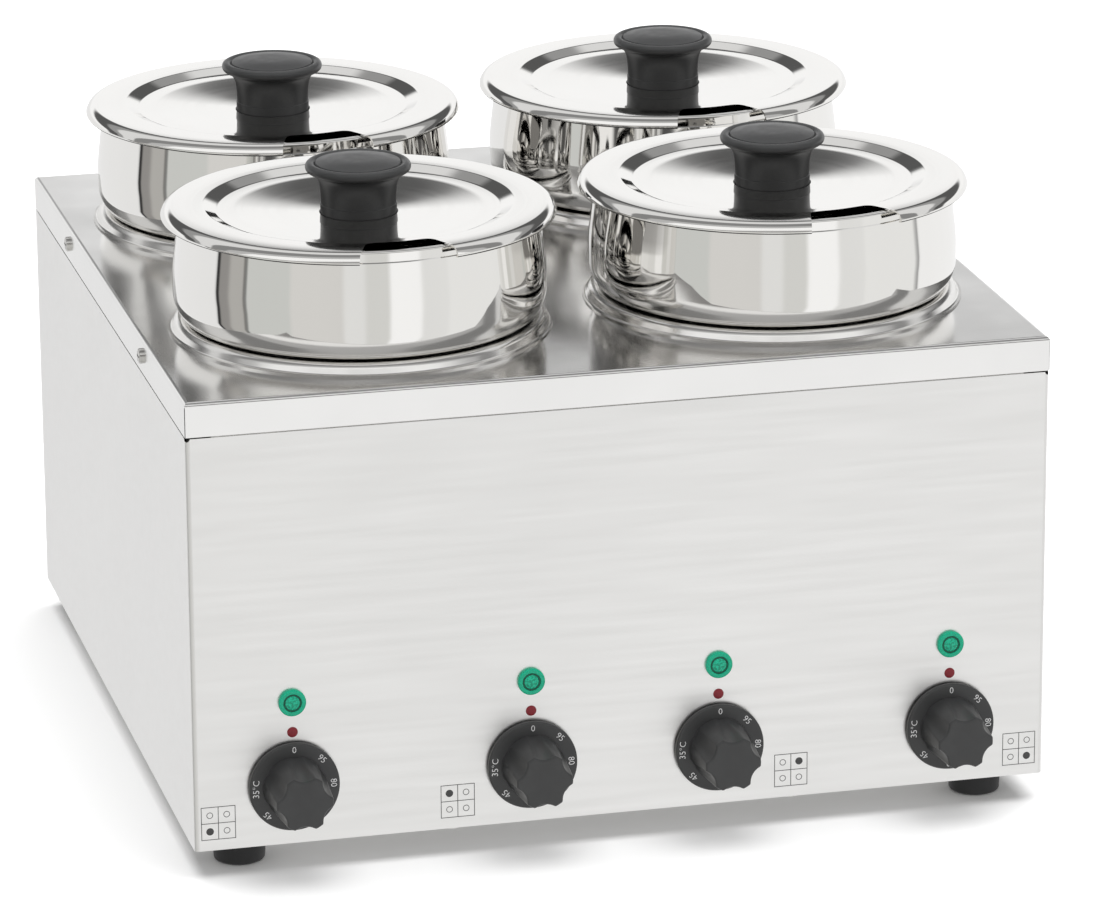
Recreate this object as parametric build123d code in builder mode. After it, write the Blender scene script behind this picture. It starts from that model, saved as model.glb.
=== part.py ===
# Four-pot bain marie: a square sheet-steel housing with four heated wells, lift-out pots and notched lids.
# Units are millimetres. The origin is on the table, under the middle of the whole object.
# +X is to the right as the user faces the controls, +Y is away from the user, +Z is up.
import os
from math import atan2, cos, radians, sin, tan

from build123d import *

os.makedirs("parts", exist_ok=True)

# Housing
body_width = 400.0
body_depth = 400.0
body_height = 211.0
sheet = 1.0
bend_radius = 2.2
deck_lip = 16.0
deck_bend = 2.0
corner_seam = 0.4
seam_gap = 0.6
tuck_clearance = 0.3
tab_end_gap = 12.0
corner_relief = 1.5
bottom_flange = 11.0
rear_return = 14.0
rear_tab_inset = 18.0
plate_gap = 1.0
deck_collar = 3.0
deck_hole_gap = 1.5
vent_length = 60.0
vent_width = 4.0
vent_pitch_x = 80.0
vent_pitch = 11.0
vent_columns = 3
vent_rows = 6
plate_vent_rows = 8
vent_drop = 70.0
rear_screw_inset = 7.0
rear_screw_end = 25.0

# Feet
foot_show = 14.0
foot_radius = 12.5
foot_inset = 25.0
foot_recess_radius = 5.6
foot_recess_depth = 8.0
foot_edge = 1.5
flange_screw_inset = 6.5
flange_screw_span = 200.0
front_screw_span = 160.0

# Wells and pots, with heights over the deck's top face
pot_pitch = 196.0
grid_setback = 2.0
well_radius = 77.2
well_wall = 0.8
well_depth = 140.0
well_corner = 10.0
well_bead_height = 5.5
well_bead_width = 9.4
well_flare = 1.6
well_inner_roll = 2.8
well_outer_roll = 3.6
well_bead_lean = 2.0
well_flare_curve = 1.0
pot_clearance = 1.3
pot_wall = 0.8
pot_depth = 125.0
pot_corner = 9.0
pot_belly_radius = 85.6
pot_neck_in = 2.7
pot_shoulder_height = 8.7
pot_shoulder_run = 3.8
pot_ledge_curve = 1.6
pot_shoulder_curve = 5.0
pot_belly_curve = 14.0
pot_neck_curve = 60.0
pot_rim_height = 56.5
pot_rim_band = 5.4
pot_rim_step = 0.6
pot_rim_lead = 0.4
pot_rim_lean = 0.3
pot_hem = 2.2
pot_hem_curve = 1.2
rest_gap = 0.3

# Lids
lid_radius = 91.0
lid_wall = 0.8
lid_recess_radius = 71.0
lid_recess_run = 6.0
lid_recess_depth = 4.6
lid_recess_curve = 3.0
lid_band_curve = 2.2
lid_seat_radius = 24.0
lid_dish_radius = 56.0
lid_dish_rise = 1.2
lid_dish_curve = 300.0
lid_rim_drop = 5.2
lid_rim_lean = 2.2
lid_rim_curve = 4.6
lid_hem = 2.2
lid_hem_curve = 1.1
notch_start = 70.4
notch_inner_width = 30.0
notch_outer_width = 47.0
notch_corner = 5.0
notch_overrun = 1.0
notch_turns = {"front_left": 2.5, "back_left": 6.0, "back_right": 4.0, "front_right": 10.0}

# Lid knobs
lid_knob_base_radius = 17.5
lid_knob_step = 0.3
lid_knob_step_height = 4.2
lid_knob_cap_radius = 24.2
lid_knob_rim_roll = 2.3
lid_knob_rim_height = 21.4
lid_knob_rim_start = -70.0
lid_knob_rim_turn = 220.0
lid_knob_height = 25.0
lid_knob_disc_radius = 19.4
lid_knob_disc_edge = 1.5
lid_knob_crown = 3.0
lid_screw_depth = 11.0
lid_screw_gap = 1.0

# Controls on the front, placed from the middle and from the underside of the housing
knob_columns = {"front_left": -154.3, "back_left": -44.0, "back_right": 44.0, "front_right": 154.3}
knob_height = 28.0
skirt_radius = 20.8
skirt_thickness = 2.6
skirt_bevel = 1.0
skirt_bevel_drop = 0.7
skirt_wall = 2.0
grip_radius = 14.6
grip_length = 23.0
grip_taper = 4.0
grip_edge = 1.0
grip_flutes = 6
flute_radius = 8.0
flute_depth = 2.2
flute_start = 2.0
knob_gap = 1.0
knob_bore_depth = 15.0
shaft_radius = 3.0
shaft_flat = 1.2
shaft_clearance = 0.05
shaft_end_gap = 0.5
bushing_radius = 5.0
thermostat_width = 36.0
thermostat_tall = 28.0
thermostat_long = 32.0
thermostat_edge = 2.0
thermostat_screw_pitch = 28.0
bulb_radius = 3.0
bulb_length = 70.0
bulb_rise = 12.0
bulb_dip = 1.0
capillary_radius = 1.0
capillary_run = 5.0
capillary_turn = 22.0
capillary_bend = 9.0
lamp_height = 67.5
lamp_bezel_radius = 6.3
lamp_bezel_thickness = 2.0
lamp_groove_radius = 4.2
lamp_lens_radius = 3.3
lamp_groove_depth = 0.8
lamp_edge = 0.8
lamp_body_radius = 4.9
lamp_body_length = 24.0
lamp_nut_width = 3.0
lamp_nut_thickness = 1.5

# Heating
heater_ring_radius = 50.0
heater_tube_radius = 3.5
heater_gap_angle = 44.0
heater_bend_radius = 8.0
heater_tail = 8.0
clamp_plate_radius = 58.0
clamp_plate_thickness = 1.5
clamp_notch_depth = 18.0
clamp_notch_width = 46.0
stud_radius = 3.0
stud_length = 16.0

# Cable entry and connection
gland_x = 120.0
gland_height = 45.0
gland_thread_radius = 9.8
gland_flat_to_flat = 24.0
lock_nut_flat_to_flat = 27.0
cable_bore_radius = 4.2
gland_flange = 5.0
gland_dome = 14.0
gland_dome_inset = 0.5
gland_dome_edge = 4.0
gland_grips = 12
gland_grip_width = 1.6
gland_grip_cut = 2.0
gland_grip_length = 8.4
gland_inside = 9.0
block_width = 52.0
block_depth = 20.0
block_height = 18.0
block_side_gap = 20.0
block_rear_gap = 40.0
block_edge = 2.0
block_poles = 5
block_pitch = 10.0
block_hole_radius = 2.4
block_hole_depth = 6.0

# Fasteners and fits
screw_radius = 2.0
screw_head_radius = 3.6
screw_head_height = 1.8
screw_cross_length = 4.8
screw_cross_width = 0.8
screw_length = 8.0
plate_screw_length = 6.0
screw_show = 1.8
nut_flat_to_flat = 10.0
nut_thickness = 4.0
foot_nut_flat_to_flat = 7.0
foot_nut_thickness = 3.2
bore_clearance = 0.05
hole_clearance = 0.2
face_gap = 0.1

# Places worked out from the sizes above
knob_reach = knob_gap + skirt_thickness + grip_length
gland_reach = gland_flange + gland_dome
front_y = knob_reach - (knob_reach + body_depth + gland_reach) / 2
back_y = front_y + body_depth
mid_y = (front_y + back_y) / 2
half_width = body_width / 2
floor_z = foot_show
deck_z = foot_show + body_height
seam_z = deck_z - deck_lip - seam_gap
plate_top = floor_z + 2 * sheet
grid_y = mid_y + grid_setback
front_row = grid_y - pot_pitch / 2
back_row = grid_y + pot_pitch / 2
pot_spots = {
    "front_left": (-pot_pitch / 2, front_row),
    "back_left": (-pot_pitch / 2, back_row),
    "back_right": (pot_pitch / 2, back_row),
    "front_right": (pot_pitch / 2, front_row),
}
deck_hole_radius = well_radius + well_wall + deck_hole_gap
pot_radius = well_radius - pot_clearance
pot_ledge = well_bead_height + rest_gap
lid_top = pot_rim_height + rest_gap + lid_wall
lid_floor = lid_top - lid_recess_depth
knob_z = floor_z + knob_height
lamp_z = floor_z + lamp_height
gland_z = floor_z + gland_height
lip_screw_z = deck_z - deck_lip / 2
tab_top = deck_z - 2 * sheet
rear_tab_width = body_width - 2 * rear_tab_inset
foot_spots = [
    (side * (half_width - foot_inset), y) for side in (-1, 1) for y in (front_y + foot_inset, back_y - foot_inset)
]
bottom_screw_spots = [
    (side * (half_width - flange_screw_inset), mid_y + end * flange_screw_span / 2) for side in (-1, 1) for end in (-1, 1)
] + [(side * front_screw_span / 2, front_y + flange_screw_inset) for side in (-1, 1)]
rear_screw_spots = [
    (side * (half_width - rear_screw_inset), z)
    for side in (-1, 1)
    for z in (floor_z + rear_screw_end, (floor_z + seam_z) / 2, seam_z - rear_screw_end)
]


def save(piece, name):
    """Label a finished piece and write it as its own STEP file."""
    piece.part.label = name
    export_step(piece.part, f"parts/{name}.step")


def section(spot):
    """Upright plane through a pot's axis: local x is the radius, local y the height over the deck."""
    return Plane(origin=(spot[0], spot[1], deck_z), x_dir=(1, 0, 0), z_dir=(0, -1, 0))


def upright(spot):
    """The vertical axis of a pot."""
    return Axis((spot[0], spot[1], 0), (0, 0, 1))


def front_face(x, z, out=0.0):
    """Plane that faces the user, a distance out from the front panel."""
    return Plane(origin=(x, front_y - out, z), x_dir=(1, 0, 0), z_dir=(0, -1, 0))


def rear_face(x, z, out=0.0):
    """Plane that faces away from the user, a distance out from the rear panel."""
    return Plane(origin=(x, back_y + out, z), x_dir=(-1, 0, 0), z_dir=(0, 1, 0))


def side_face(side, y, z, out=0.0):
    """Plane that faces left or right, a distance out from that side of the housing."""
    return Plane(origin=(side * (half_width + out), y, z), x_dir=(0, side, 0), z_dir=(side, 0, 0))


def wrap_plan(inset, thickness):
    """Plan of a strip of sheet that follows the left side, the front and the right side."""
    side, near, rear = half_width - inset, front_y + inset, back_y - sheet
    with BuildSketch() as plan:
        with BuildLine():
            path = FilletPolyline(
                (-side, rear), (-side, near), (side, near), (side, rear), radius=max(bend_radius - inset, 0.4)
            )
            offset(path, amount=thickness, side=Side.LEFT)
        make_face()
    return plan.sketch


def pan_screw(plane, length=screw_length):
    """Cross-head screw whose head sits on a plane, with its shank going in behind that plane."""
    with BuildPart() as screw:
        with BuildSketch(plane):
            Circle(screw_head_radius)
        extrude(amount=screw_head_height)
        fillet(screw.faces().sort_by(plane_order(plane))[-1].edges(), screw_head_height / 2)
        with BuildSketch(plane.offset(screw_head_height / 2)):
            Rectangle(screw_cross_length, screw_cross_width)
            Rectangle(screw_cross_width, screw_cross_length)
        extrude(amount=screw_head_height, mode=Mode.SUBTRACT)
        with BuildSketch(plane):
            Circle(screw_radius)
        extrude(amount=-length)
    return screw.part


def plane_order(plane):
    """Axis along a plane's normal, to sort faces by how far out they lie."""
    return Axis(plane.origin, plane.z_dir)


def hex_nut(plane, flat_to_flat, thickness, bore):
    """Hexagon nut that stands on a plane."""
    with BuildPart() as nut:
        with BuildSketch(plane):
            RegularPolygon(flat_to_flat / 2, 6, major_radius=False)
            Circle(bore, mode=Mode.SUBTRACT)
        extrude(amount=thickness)
    return nut.part


# Top deck: a pan with a turned-down lip, open corner seams and four collared holes
with BuildPart() as top_deck:
    with BuildSketch(Plane.XY.offset(deck_z - deck_lip)):
        with Locations((0, mid_y)):
            Rectangle(body_width, body_depth)
    extrude(amount=deck_lip)
    fillet(top_deck.faces().sort_by(Axis.Z)[-1].edges(), deck_bend)
    offset(amount=-sheet, openings=top_deck.faces().sort_by(Axis.Z)[0])
    with BuildSketch(Plane.XY.offset(deck_z - sheet)):
        with Locations(*pot_spots.values()):
            Circle(deck_hole_radius + sheet)
    extrude(amount=sheet + deck_collar)
    with BuildSketch(Plane.XY.offset(deck_z - deck_lip)):
        with Locations(*pot_spots.values()):
            Circle(deck_hole_radius)
    extrude(amount=deck_lip + deck_collar, mode=Mode.SUBTRACT)
    with BuildSketch(Plane.XY.offset(deck_z - deck_lip)):
        for x in (-half_width, half_width):
            for y in (front_y, back_y):
                slant = 45 if (x > 0) == (y > mid_y) else -45
                with Locations(Location((x, y, 0), (0, 0, slant))):
                    Rectangle(4 * sheet, corner_seam)
    extrude(amount=deck_lip - deck_bend, mode=Mode.SUBTRACT)
    for side in (-1, 1):
        for y in (front_row, back_row):
            with BuildSketch(side_face(side, y, lip_screw_z)):
                Circle(screw_radius + hole_clearance)
            extrude(amount=-2 * sheet, mode=Mode.SUBTRACT)
save(top_deck, "top_deck")

# Housing shell: one sheet wrapped round the left, front and right, with tucked-in tabs at the top
tab_inset = sheet + tuck_clearance
with BuildPart() as housing_shell:
    with BuildSketch(Plane.XY.offset(floor_z)):
        add(wrap_plan(0, sheet))
    extrude(amount=seam_z - floor_z)
    with BuildSketch(Plane.XY.offset(seam_z - sheet)):
        add(wrap_plan(0, tab_inset + sheet))
    extrude(amount=sheet)
    with BuildSketch(Plane.XY.offset(seam_z - sheet)):
        add(wrap_plan(tab_inset, sheet))
    extrude(amount=tab_top - seam_z + sheet)
    with BuildSketch(Plane.XY.offset(floor_z)):
        add(wrap_plan(0, bottom_flange))
    extrude(amount=sheet)
    for side in (-1, 1):
        with BuildSketch(Plane.XY.offset(floor_z)):
            with Locations((side * (half_width - rear_return / 2), back_y - 1.5 * sheet)):
                Rectangle(rear_return, sheet)
        extrude(amount=seam_z - floor_z)
        with BuildSketch(Plane.XY.offset(seam_z)):
            with Locations((side * half_width, front_y)):
                Rectangle(2 * tab_end_gap, 2 * tab_end_gap)
            with Locations((side * half_width, back_y)):
                Rectangle(2 * tab_end_gap, 2 * tab_end_gap)
        extrude(amount=deck_lip, mode=Mode.SUBTRACT)
        corner = Plane(origin=(side * half_width, front_y, seam_z), z_dir=(side, -1, 0))
        with BuildSketch(corner):
            Circle(corner_relief)
        extrude(amount=3 * bend_radius, both=True, mode=Mode.SUBTRACT)
        for y in (front_row, back_row):
            with BuildSketch(side_face(side, y, lip_screw_z)):
                Circle(screw_radius)
            extrude(amount=-3 * sheet, mode=Mode.SUBTRACT)
    with BuildSketch(front_face(0, 0)):
        for x in knob_columns.values():
            with Locations((x, knob_z)):
                Circle(bushing_radius + hole_clearance)
            with Locations((x, lamp_z)):
                Circle(lamp_body_radius + hole_clearance)
            with Locations((x, knob_z)):
                with GridLocations(thermostat_screw_pitch, 0, 2, 1):
                    Circle(screw_radius + hole_clearance)
    extrude(amount=-2 * sheet, mode=Mode.SUBTRACT)
    with BuildSketch(Plane.XY.offset(floor_z)):
        with Locations(*bottom_screw_spots):
            Circle(screw_radius + hole_clearance)
    extrude(amount=sheet, mode=Mode.SUBTRACT)
    with BuildSketch(rear_face(0, 0)):
        with Locations(*[(-x, z) for x, z in rear_screw_spots]):
            Circle(screw_radius)
    extrude(amount=-3 * sheet, mode=Mode.SUBTRACT)
save(housing_shell, "housing_shell")

# Rear panel: a flat sheet with a tucked-in top tab, vent slots, the cable hole and its screw holes
with BuildPart() as rear_panel:
    with BuildSketch(rear_face(0, floor_z)):
        with Locations((0, (seam_z - floor_z) / 2)):
            Rectangle(body_width - 2 * sheet, seam_z - floor_z)
    extrude(amount=-sheet)
    with BuildSketch(rear_face(0, seam_z - sheet / 2)):
        Rectangle(rear_tab_width, sheet)
    extrude(amount=-(tab_inset + sheet))
    with BuildSketch(rear_face(0, 0, -tab_inset)):
        with Locations((0, (seam_z - sheet + tab_top) / 2)):
            Rectangle(rear_tab_width, tab_top - seam_z + sheet)
    extrude(amount=-sheet)
    with BuildSketch(rear_face(0, 0)):
        with Locations(*[(-x, z) for x, z in rear_screw_spots]):
            Circle(screw_radius + hole_clearance)
        with Locations((-gland_x, gland_z)):
            Circle(gland_thread_radius + hole_clearance)
        with Locations((0, seam_z - vent_drop)):
            with GridLocations(vent_pitch_x, vent_pitch, vent_columns, vent_rows):
                SlotOverall(vent_length, vent_width)
    extrude(amount=-sheet, mode=Mode.SUBTRACT)
save(rear_panel, "rear_panel")

# Bottom plate: it lies on the housing's bottom flange and carries the feet
with BuildPart() as bottom_plate:
    with BuildSketch(Plane.XY.offset(floor_z + sheet)):
        with Locations((0, mid_y - sheet / 2)):
            Rectangle(body_width - 2 * (sheet + plate_gap), body_depth - 3 * sheet - 2 * plate_gap)
    extrude(amount=sheet)
    with BuildSketch(Plane.XY.offset(floor_z + sheet)):
        with Locations(*foot_spots):
            Circle(screw_radius + hole_clearance)
        with Locations(*bottom_screw_spots):
            Circle(screw_radius)
        with Locations((0, mid_y)):
            with GridLocations(pot_pitch, vent_pitch, 2, plate_vent_rows):
                SlotOverall(vent_length, vent_width)
    extrude(amount=sheet, mode=Mode.SUBTRACT)
save(bottom_plate, "bottom_plate")

# Rubber feet, each with a recess for its screw
with BuildPart() as rubber_feet:
    with BuildSketch(Plane.XY):
        with Locations(*foot_spots):
            Circle(foot_radius)
    extrude(amount=foot_show + sheet)
    fillet(rubber_feet.edges().filter_by(GeomType.CIRCLE).group_by(Axis.Z)[0], foot_edge)
    with BuildSketch(Plane.XY):
        with Locations(*foot_spots):
            Circle(foot_recess_radius)
    extrude(amount=foot_recess_depth, mode=Mode.SUBTRACT)
    with BuildSketch(Plane.XY):
        with Locations(*foot_spots):
            Circle(screw_radius + hole_clearance)
    extrude(amount=foot_show + sheet, mode=Mode.SUBTRACT)
save(rubber_feet, "rubber_feet")

# Fasteners of the housing
foot_screw_length = foot_show + 2 * sheet - foot_recess_depth + foot_nut_thickness + screw_show
with BuildPart() as foot_screws:
    for x, y in foot_spots:
        seat = Plane(origin=(x, y, foot_recess_depth), x_dir=(1, 0, 0), z_dir=(0, 0, -1))
        add(pan_screw(seat, foot_screw_length))
save(foot_screws, "foot_screws")

with BuildPart() as foot_nuts:
    for x, y in foot_spots:
        add(hex_nut(Plane(origin=(x, y, plate_top)), foot_nut_flat_to_flat, foot_nut_thickness, screw_radius))
save(foot_nuts, "foot_nuts")

with BuildPart() as deck_screws:
    for side in (-1, 1):
        for y in (front_row, back_row):
            add(pan_screw(side_face(side, y, lip_screw_z)))
save(deck_screws, "deck_screws")

with BuildPart() as rear_panel_screws:
    for x, z in rear_screw_spots:
        add(pan_screw(rear_face(x, z)))
save(rear_panel_screws, "rear_panel_screws")

with BuildPart() as bottom_plate_screws:
    for x, y in bottom_screw_spots:
        add(pan_screw(Plane(origin=(x, y, floor_z), x_dir=(1, 0, 0), z_dir=(0, 0, -1)), plate_screw_length))
save(bottom_plate_screws, "bottom_plate_screws")

# Wells: a drawn cup whose rolled bead hooks over the deck's collar, with a welded stud under its floor
for spot_name, spot in pot_spots.items():
    bead_out = well_radius + well_bead_width
    with BuildPart() as well:
        with BuildSketch(section(spot)):
            with BuildLine():
                path = FilletPolyline(
                    (0, -well_depth),
                    (well_radius, -well_depth),
                    (well_radius, well_bead_height),
                    (bead_out - well_bead_lean, well_bead_height),
                    (bead_out, well_wall),
                    (bead_out + well_flare, well_wall),
                    radius=[well_corner, well_inner_roll, well_outer_roll, well_flare_curve],
                )
                offset(path, amount=well_wall, side=Side.RIGHT)
            make_face()
        revolve(axis=upright(spot))
        with BuildSketch(Plane(origin=(spot[0], spot[1], deck_z - well_depth - well_wall))):
            Circle(stud_radius)
        extrude(amount=-stud_length)
    save(well, f"well_{spot_name}")

# Heating elements: a tube bent to an open ring under the well's floor, with both ends bent down to terminals
heater_z = deck_z - well_depth - well_wall - face_gap - heater_tube_radius
for spot_name, spot in pot_spots.items():
    with BuildPart() as heater:
        for angle, way in ((heater_gap_angle / 2, -1), (-heater_gap_angle / 2, 1)):
            middle = Plane(origin=(spot[0], spot[1], heater_z)).rotated((0, 0, angle))
            end = Plane(origin=middle.origin + middle.x_dir * heater_ring_radius, z_dir=middle.y_dir * way)
            pivot = Axis(end.origin - Vector(0, 0, heater_bend_radius), middle.x_dir * -way)
            with BuildSketch(end):
                Circle(heater_tube_radius)
            revolve(axis=pivot, revolution_arc=90)
            foot = end.origin + end.z_dir * heater_bend_radius - Vector(0, 0, heater_bend_radius)
            with BuildSketch(Plane(origin=foot)):
                Circle(heater_tube_radius)
            extrude(amount=-heater_tail)
            if way < 0:
                with BuildSketch(end):
                    Circle(heater_tube_radius)
                revolve(axis=upright(spot), revolution_arc=360 - heater_gap_angle)
    save(heater, f"heating_element_{spot_name}")

# Clamp plates and their nuts hold the elements up, with a notch for the elements' ends
clamp_top = heater_z - heater_tube_radius - face_gap
with BuildPart() as heater_clamps:
    with BuildSketch(Plane.XY.offset(clamp_top)):
        with Locations(*pot_spots.values()):
            Circle(clamp_plate_radius)
            Circle(stud_radius + hole_clearance, mode=Mode.SUBTRACT)
            with Locations((clamp_plate_radius, 0)):
                Rectangle(clamp_notch_depth * 2, clamp_notch_width, mode=Mode.SUBTRACT)
    extrude(amount=-clamp_plate_thickness)
save(heater_clamps, "heater_clamps")

with BuildPart() as heater_nuts:
    for x, y in pot_spots.values():
        seat = Plane(origin=(x, y, clamp_top - clamp_plate_thickness), x_dir=(1, 0, 0), z_dir=(0, 0, -1))
        add(hex_nut(seat, nut_flat_to_flat, nut_thickness, stud_radius))
save(heater_nuts, "heater_nuts")

# Pots: a narrow body that hangs in the well, a shoulder that rests on the bead, and a wide belly above it
for spot_name, spot in pot_spots.items():
    rim_radius = pot_belly_radius - pot_neck_in
    with BuildPart() as pot:
        with BuildSketch(section(spot)):
            with BuildLine():
                path = FilletPolyline(
                    (0, -pot_depth),
                    (pot_radius, -pot_depth),
                    (pot_radius, pot_ledge),
                    (pot_belly_radius - pot_shoulder_run, pot_ledge),
                    (pot_belly_radius, pot_ledge + pot_shoulder_height),
                    (pot_belly_radius, pot_rim_height / 2),
                    (rim_radius, pot_rim_height - pot_rim_band),
                    (rim_radius - pot_rim_step, pot_rim_height - pot_rim_band + pot_rim_lead),
                    (rim_radius - pot_rim_step - pot_rim_lean, pot_rim_height),
                    (rim_radius - pot_rim_step - pot_hem, pot_rim_height),
                    radius=[
                        pot_corner, pot_ledge_curve, pot_shoulder_curve, pot_belly_curve, pot_neck_curve, 0, 0, pot_hem_curve
                    ],
                )
                offset(path, amount=pot_wall, side=Side.LEFT)
            make_face()
        revolve(axis=upright(spot))
    save(pot, f"pot_{spot_name}")

# Lids: dished and recessed middle, flat band, leaning turned-down rim, and a notch for the ladle's handle
for spot_name, spot in pot_spots.items():
    recess = lid_recess_radius - lid_recess_run
    with BuildPart() as lid:
        with BuildSketch(section(spot)):
            with BuildLine():
                path = FilletPolyline(
                    (0, lid_floor),
                    (lid_seat_radius, lid_floor),
                    (lid_dish_radius, lid_floor + lid_dish_rise),
                    (recess, lid_floor + lid_dish_rise),
                    (lid_recess_radius, lid_top),
                    (lid_radius - lid_rim_lean, lid_top),
                    (lid_radius, lid_top - lid_rim_drop),
                    (lid_radius - lid_hem, lid_top - lid_rim_drop),
                    radius=[
                        lid_dish_curve, lid_dish_curve, lid_recess_curve, lid_band_curve, lid_rim_curve, lid_hem_curve
                    ],
                )
                offset(path, amount=lid_wall, side=Side.RIGHT)
            make_face()
        revolve(axis=upright(spot))
        with BuildSketch(Plane.XY.offset(deck_z + lid_floor - lid_hem)):
            with Locations(spot):
                Circle(screw_radius + hole_clearance)
        extrude(amount=2 * lid_recess_depth, mode=Mode.SUBTRACT)
        turned = Plane(origin=(spot[0], spot[1], deck_z + lid_floor - 3 * lid_hem)).rotated(
            (0, 0, notch_turns[spot_name])
        )
        with BuildSketch(turned) as notch_plan:
            Polygon(
                (-notch_inner_width / 2, -notch_start),
                (notch_inner_width / 2, -notch_start),
                (notch_outer_width / 2, -lid_radius - notch_overrun),
                (-notch_outer_width / 2, -lid_radius - notch_overrun),
                align=None,
            )
            fillet(notch_plan.vertices().group_by(Axis.Y)[-1], notch_corner)
        extrude(amount=4 * lid_recess_depth, mode=Mode.SUBTRACT)
    save(lid, f"lid_{spot_name}")

# Lid knobs: a stem with a small step that flares into a rolled rim round a domed disc
for spot_name, spot in pot_spots.items():
    foot = Plane(origin=(spot[0], spot[1], deck_z + lid_floor), x_dir=(1, 0, 0), z_dir=(0, -1, 0))
    rim_middle = (lid_knob_cap_radius - lid_knob_rim_roll, lid_knob_rim_height)
    disc_edge = (lid_knob_disc_radius, lid_knob_height - lid_knob_disc_edge)
    with BuildPart() as lid_knob:
        with BuildSketch(foot):
            with BuildLine():
                stem = Polyline(
                    (0, 0),
                    (lid_knob_base_radius, 0),
                    (lid_knob_base_radius, lid_knob_step_height),
                    (lid_knob_base_radius - lid_knob_step, lid_knob_step_height),
                )
                rim = CenterArc(rim_middle, lid_knob_rim_roll, lid_knob_rim_start, lid_knob_rim_turn)
                Spline(stem @ 1, rim @ 0, tangents=((0, 1), rim % 0))
                Line(rim @ 1, disc_edge)
                TangentArc((lid_knob_crown, lid_knob_height), disc_edge, tangent=(1, 0))
                Polyline((lid_knob_crown, lid_knob_height), (0, lid_knob_height), (0, 0))
            make_face()
        revolve(axis=upright(spot))
        with BuildSketch(Plane(origin=(spot[0], spot[1], deck_z + lid_floor))):
            Circle(screw_radius)
        extrude(amount=lid_screw_depth, mode=Mode.SUBTRACT)
    save(lid_knob, f"lid_knob_{spot_name}")
    underside = Plane(origin=(spot[0], spot[1], deck_z + lid_floor - lid_wall), x_dir=(1, 0, 0), z_dir=(0, 0, -1))
    with BuildPart() as lid_knob_screw:
        add(pan_screw(underside, lid_wall + lid_screw_depth - lid_screw_gap))
    save(lid_knob_screw, f"lid_knob_screw_{spot_name}")

# Dial knobs: a hollow-backed skirt, a grip with flutes that deepen outwards, and a D-shaped bore for the shaft
grip_slope = tan(radians(grip_taper))
flute_run = grip_length - flute_start
flute_lean = atan2(flute_run * grip_slope + flute_depth, flute_run)
for spot_name, x in knob_columns.items():
    back = front_face(x, knob_z, knob_gap)
    grip_back = front_face(x, knob_z, knob_gap + skirt_thickness)
    with BuildPart() as dial_knob:
        with BuildSketch(grip_back):
            Circle(grip_radius)
        extrude(amount=grip_length, taper=grip_taper)
        fillet(dial_knob.faces().sort_by(Axis.Y)[0].edges(), grip_edge)
        for number in range(grip_flutes):
            turned = grip_back.rotated((0, 90 + number * 360 / grip_flutes, 0))
            start = Vector(grip_radius - flute_start * grip_slope, 0, flute_start)
            leaning = Plane(
                origin=turned.from_local_coords(start),
                x_dir=turned.x_dir * cos(flute_lean) + turned.z_dir * sin(flute_lean),
                z_dir=turned.z_dir * cos(flute_lean) - turned.x_dir * sin(flute_lean),
            )
            with BuildSketch(leaning):
                with Locations((flute_radius, 0)):
                    Circle(flute_radius)
            extrude(amount=2 * grip_length, mode=Mode.SUBTRACT)
        with BuildSketch(back):
            Circle(skirt_radius)
        extrude(amount=skirt_thickness - skirt_bevel_drop)
        with BuildSketch(back.offset(skirt_thickness - skirt_bevel_drop)):
            Circle(skirt_radius)
        with BuildSketch(grip_back):
            Circle(skirt_radius - skirt_bevel)
        loft()
        with BuildSketch(back):
            Circle(skirt_radius - skirt_wall)
            Circle(bushing_radius + skirt_wall, mode=Mode.SUBTRACT)
        extrude(amount=skirt_thickness / 2, mode=Mode.SUBTRACT)
        with BuildSketch(back):
            Circle(shaft_radius + shaft_clearance)
            with Locations((0, 2 * shaft_radius - shaft_flat + shaft_clearance)):
                Rectangle(2 * shaft_radius + 1, 2 * shaft_radius, mode=Mode.SUBTRACT)
        extrude(amount=knob_bore_depth, mode=Mode.SUBTRACT)
    save(dial_knob, f"dial_knob_{spot_name}")
    tip = front_face(x, knob_z, knob_gap + knob_bore_depth - shaft_end_gap)
    with BuildPart() as thermostat_shaft:
        with BuildSketch(tip):
            Circle(shaft_radius)
            with Locations((0, 2 * shaft_radius - shaft_flat)):
                Rectangle(2 * shaft_radius + 1, 2 * shaft_radius, mode=Mode.SUBTRACT)
        extrude(amount=-(knob_bore_depth - shaft_end_gap))
        with BuildSketch(front_face(x, knob_z, knob_gap)):
            Circle(shaft_radius)
        extrude(amount=-(knob_gap + sheet + bushing_radius))
    save(thermostat_shaft, f"thermostat_shaft_{spot_name}")

# Thermostats: a body behind the panel with a bushing for the shaft, and tapped holes for two screws
for spot_name, x in knob_columns.items():
    seat = front_face(x, knob_z, -sheet)
    with BuildPart() as thermostat:
        with BuildSketch(seat):
            Rectangle(thermostat_width, thermostat_tall)
        extrude(amount=-thermostat_long)
        fillet(thermostat.edges().filter_by(Axis.Y), thermostat_edge)
        with BuildSketch(seat):
            Circle(bushing_radius)
        extrude(amount=sheet)
        with BuildSketch(front_face(x, knob_z)):
            Circle(shaft_radius + shaft_clearance)
        extrude(amount=-(sheet + bushing_radius + 1), mode=Mode.SUBTRACT)
        with BuildSketch(seat):
            with GridLocations(thermostat_screw_pitch, 0, 2, 1):
                Circle(screw_radius)
        extrude(amount=-screw_length, mode=Mode.SUBTRACT)
    save(thermostat, f"thermostat_{spot_name}")

with BuildPart() as thermostat_screws:
    for x in knob_columns.values():
        for side in (-1, 1):
            add(pan_screw(front_face(x + side * thermostat_screw_pitch / 2, knob_z)))
save(thermostat_screws, "thermostat_screws")

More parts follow.
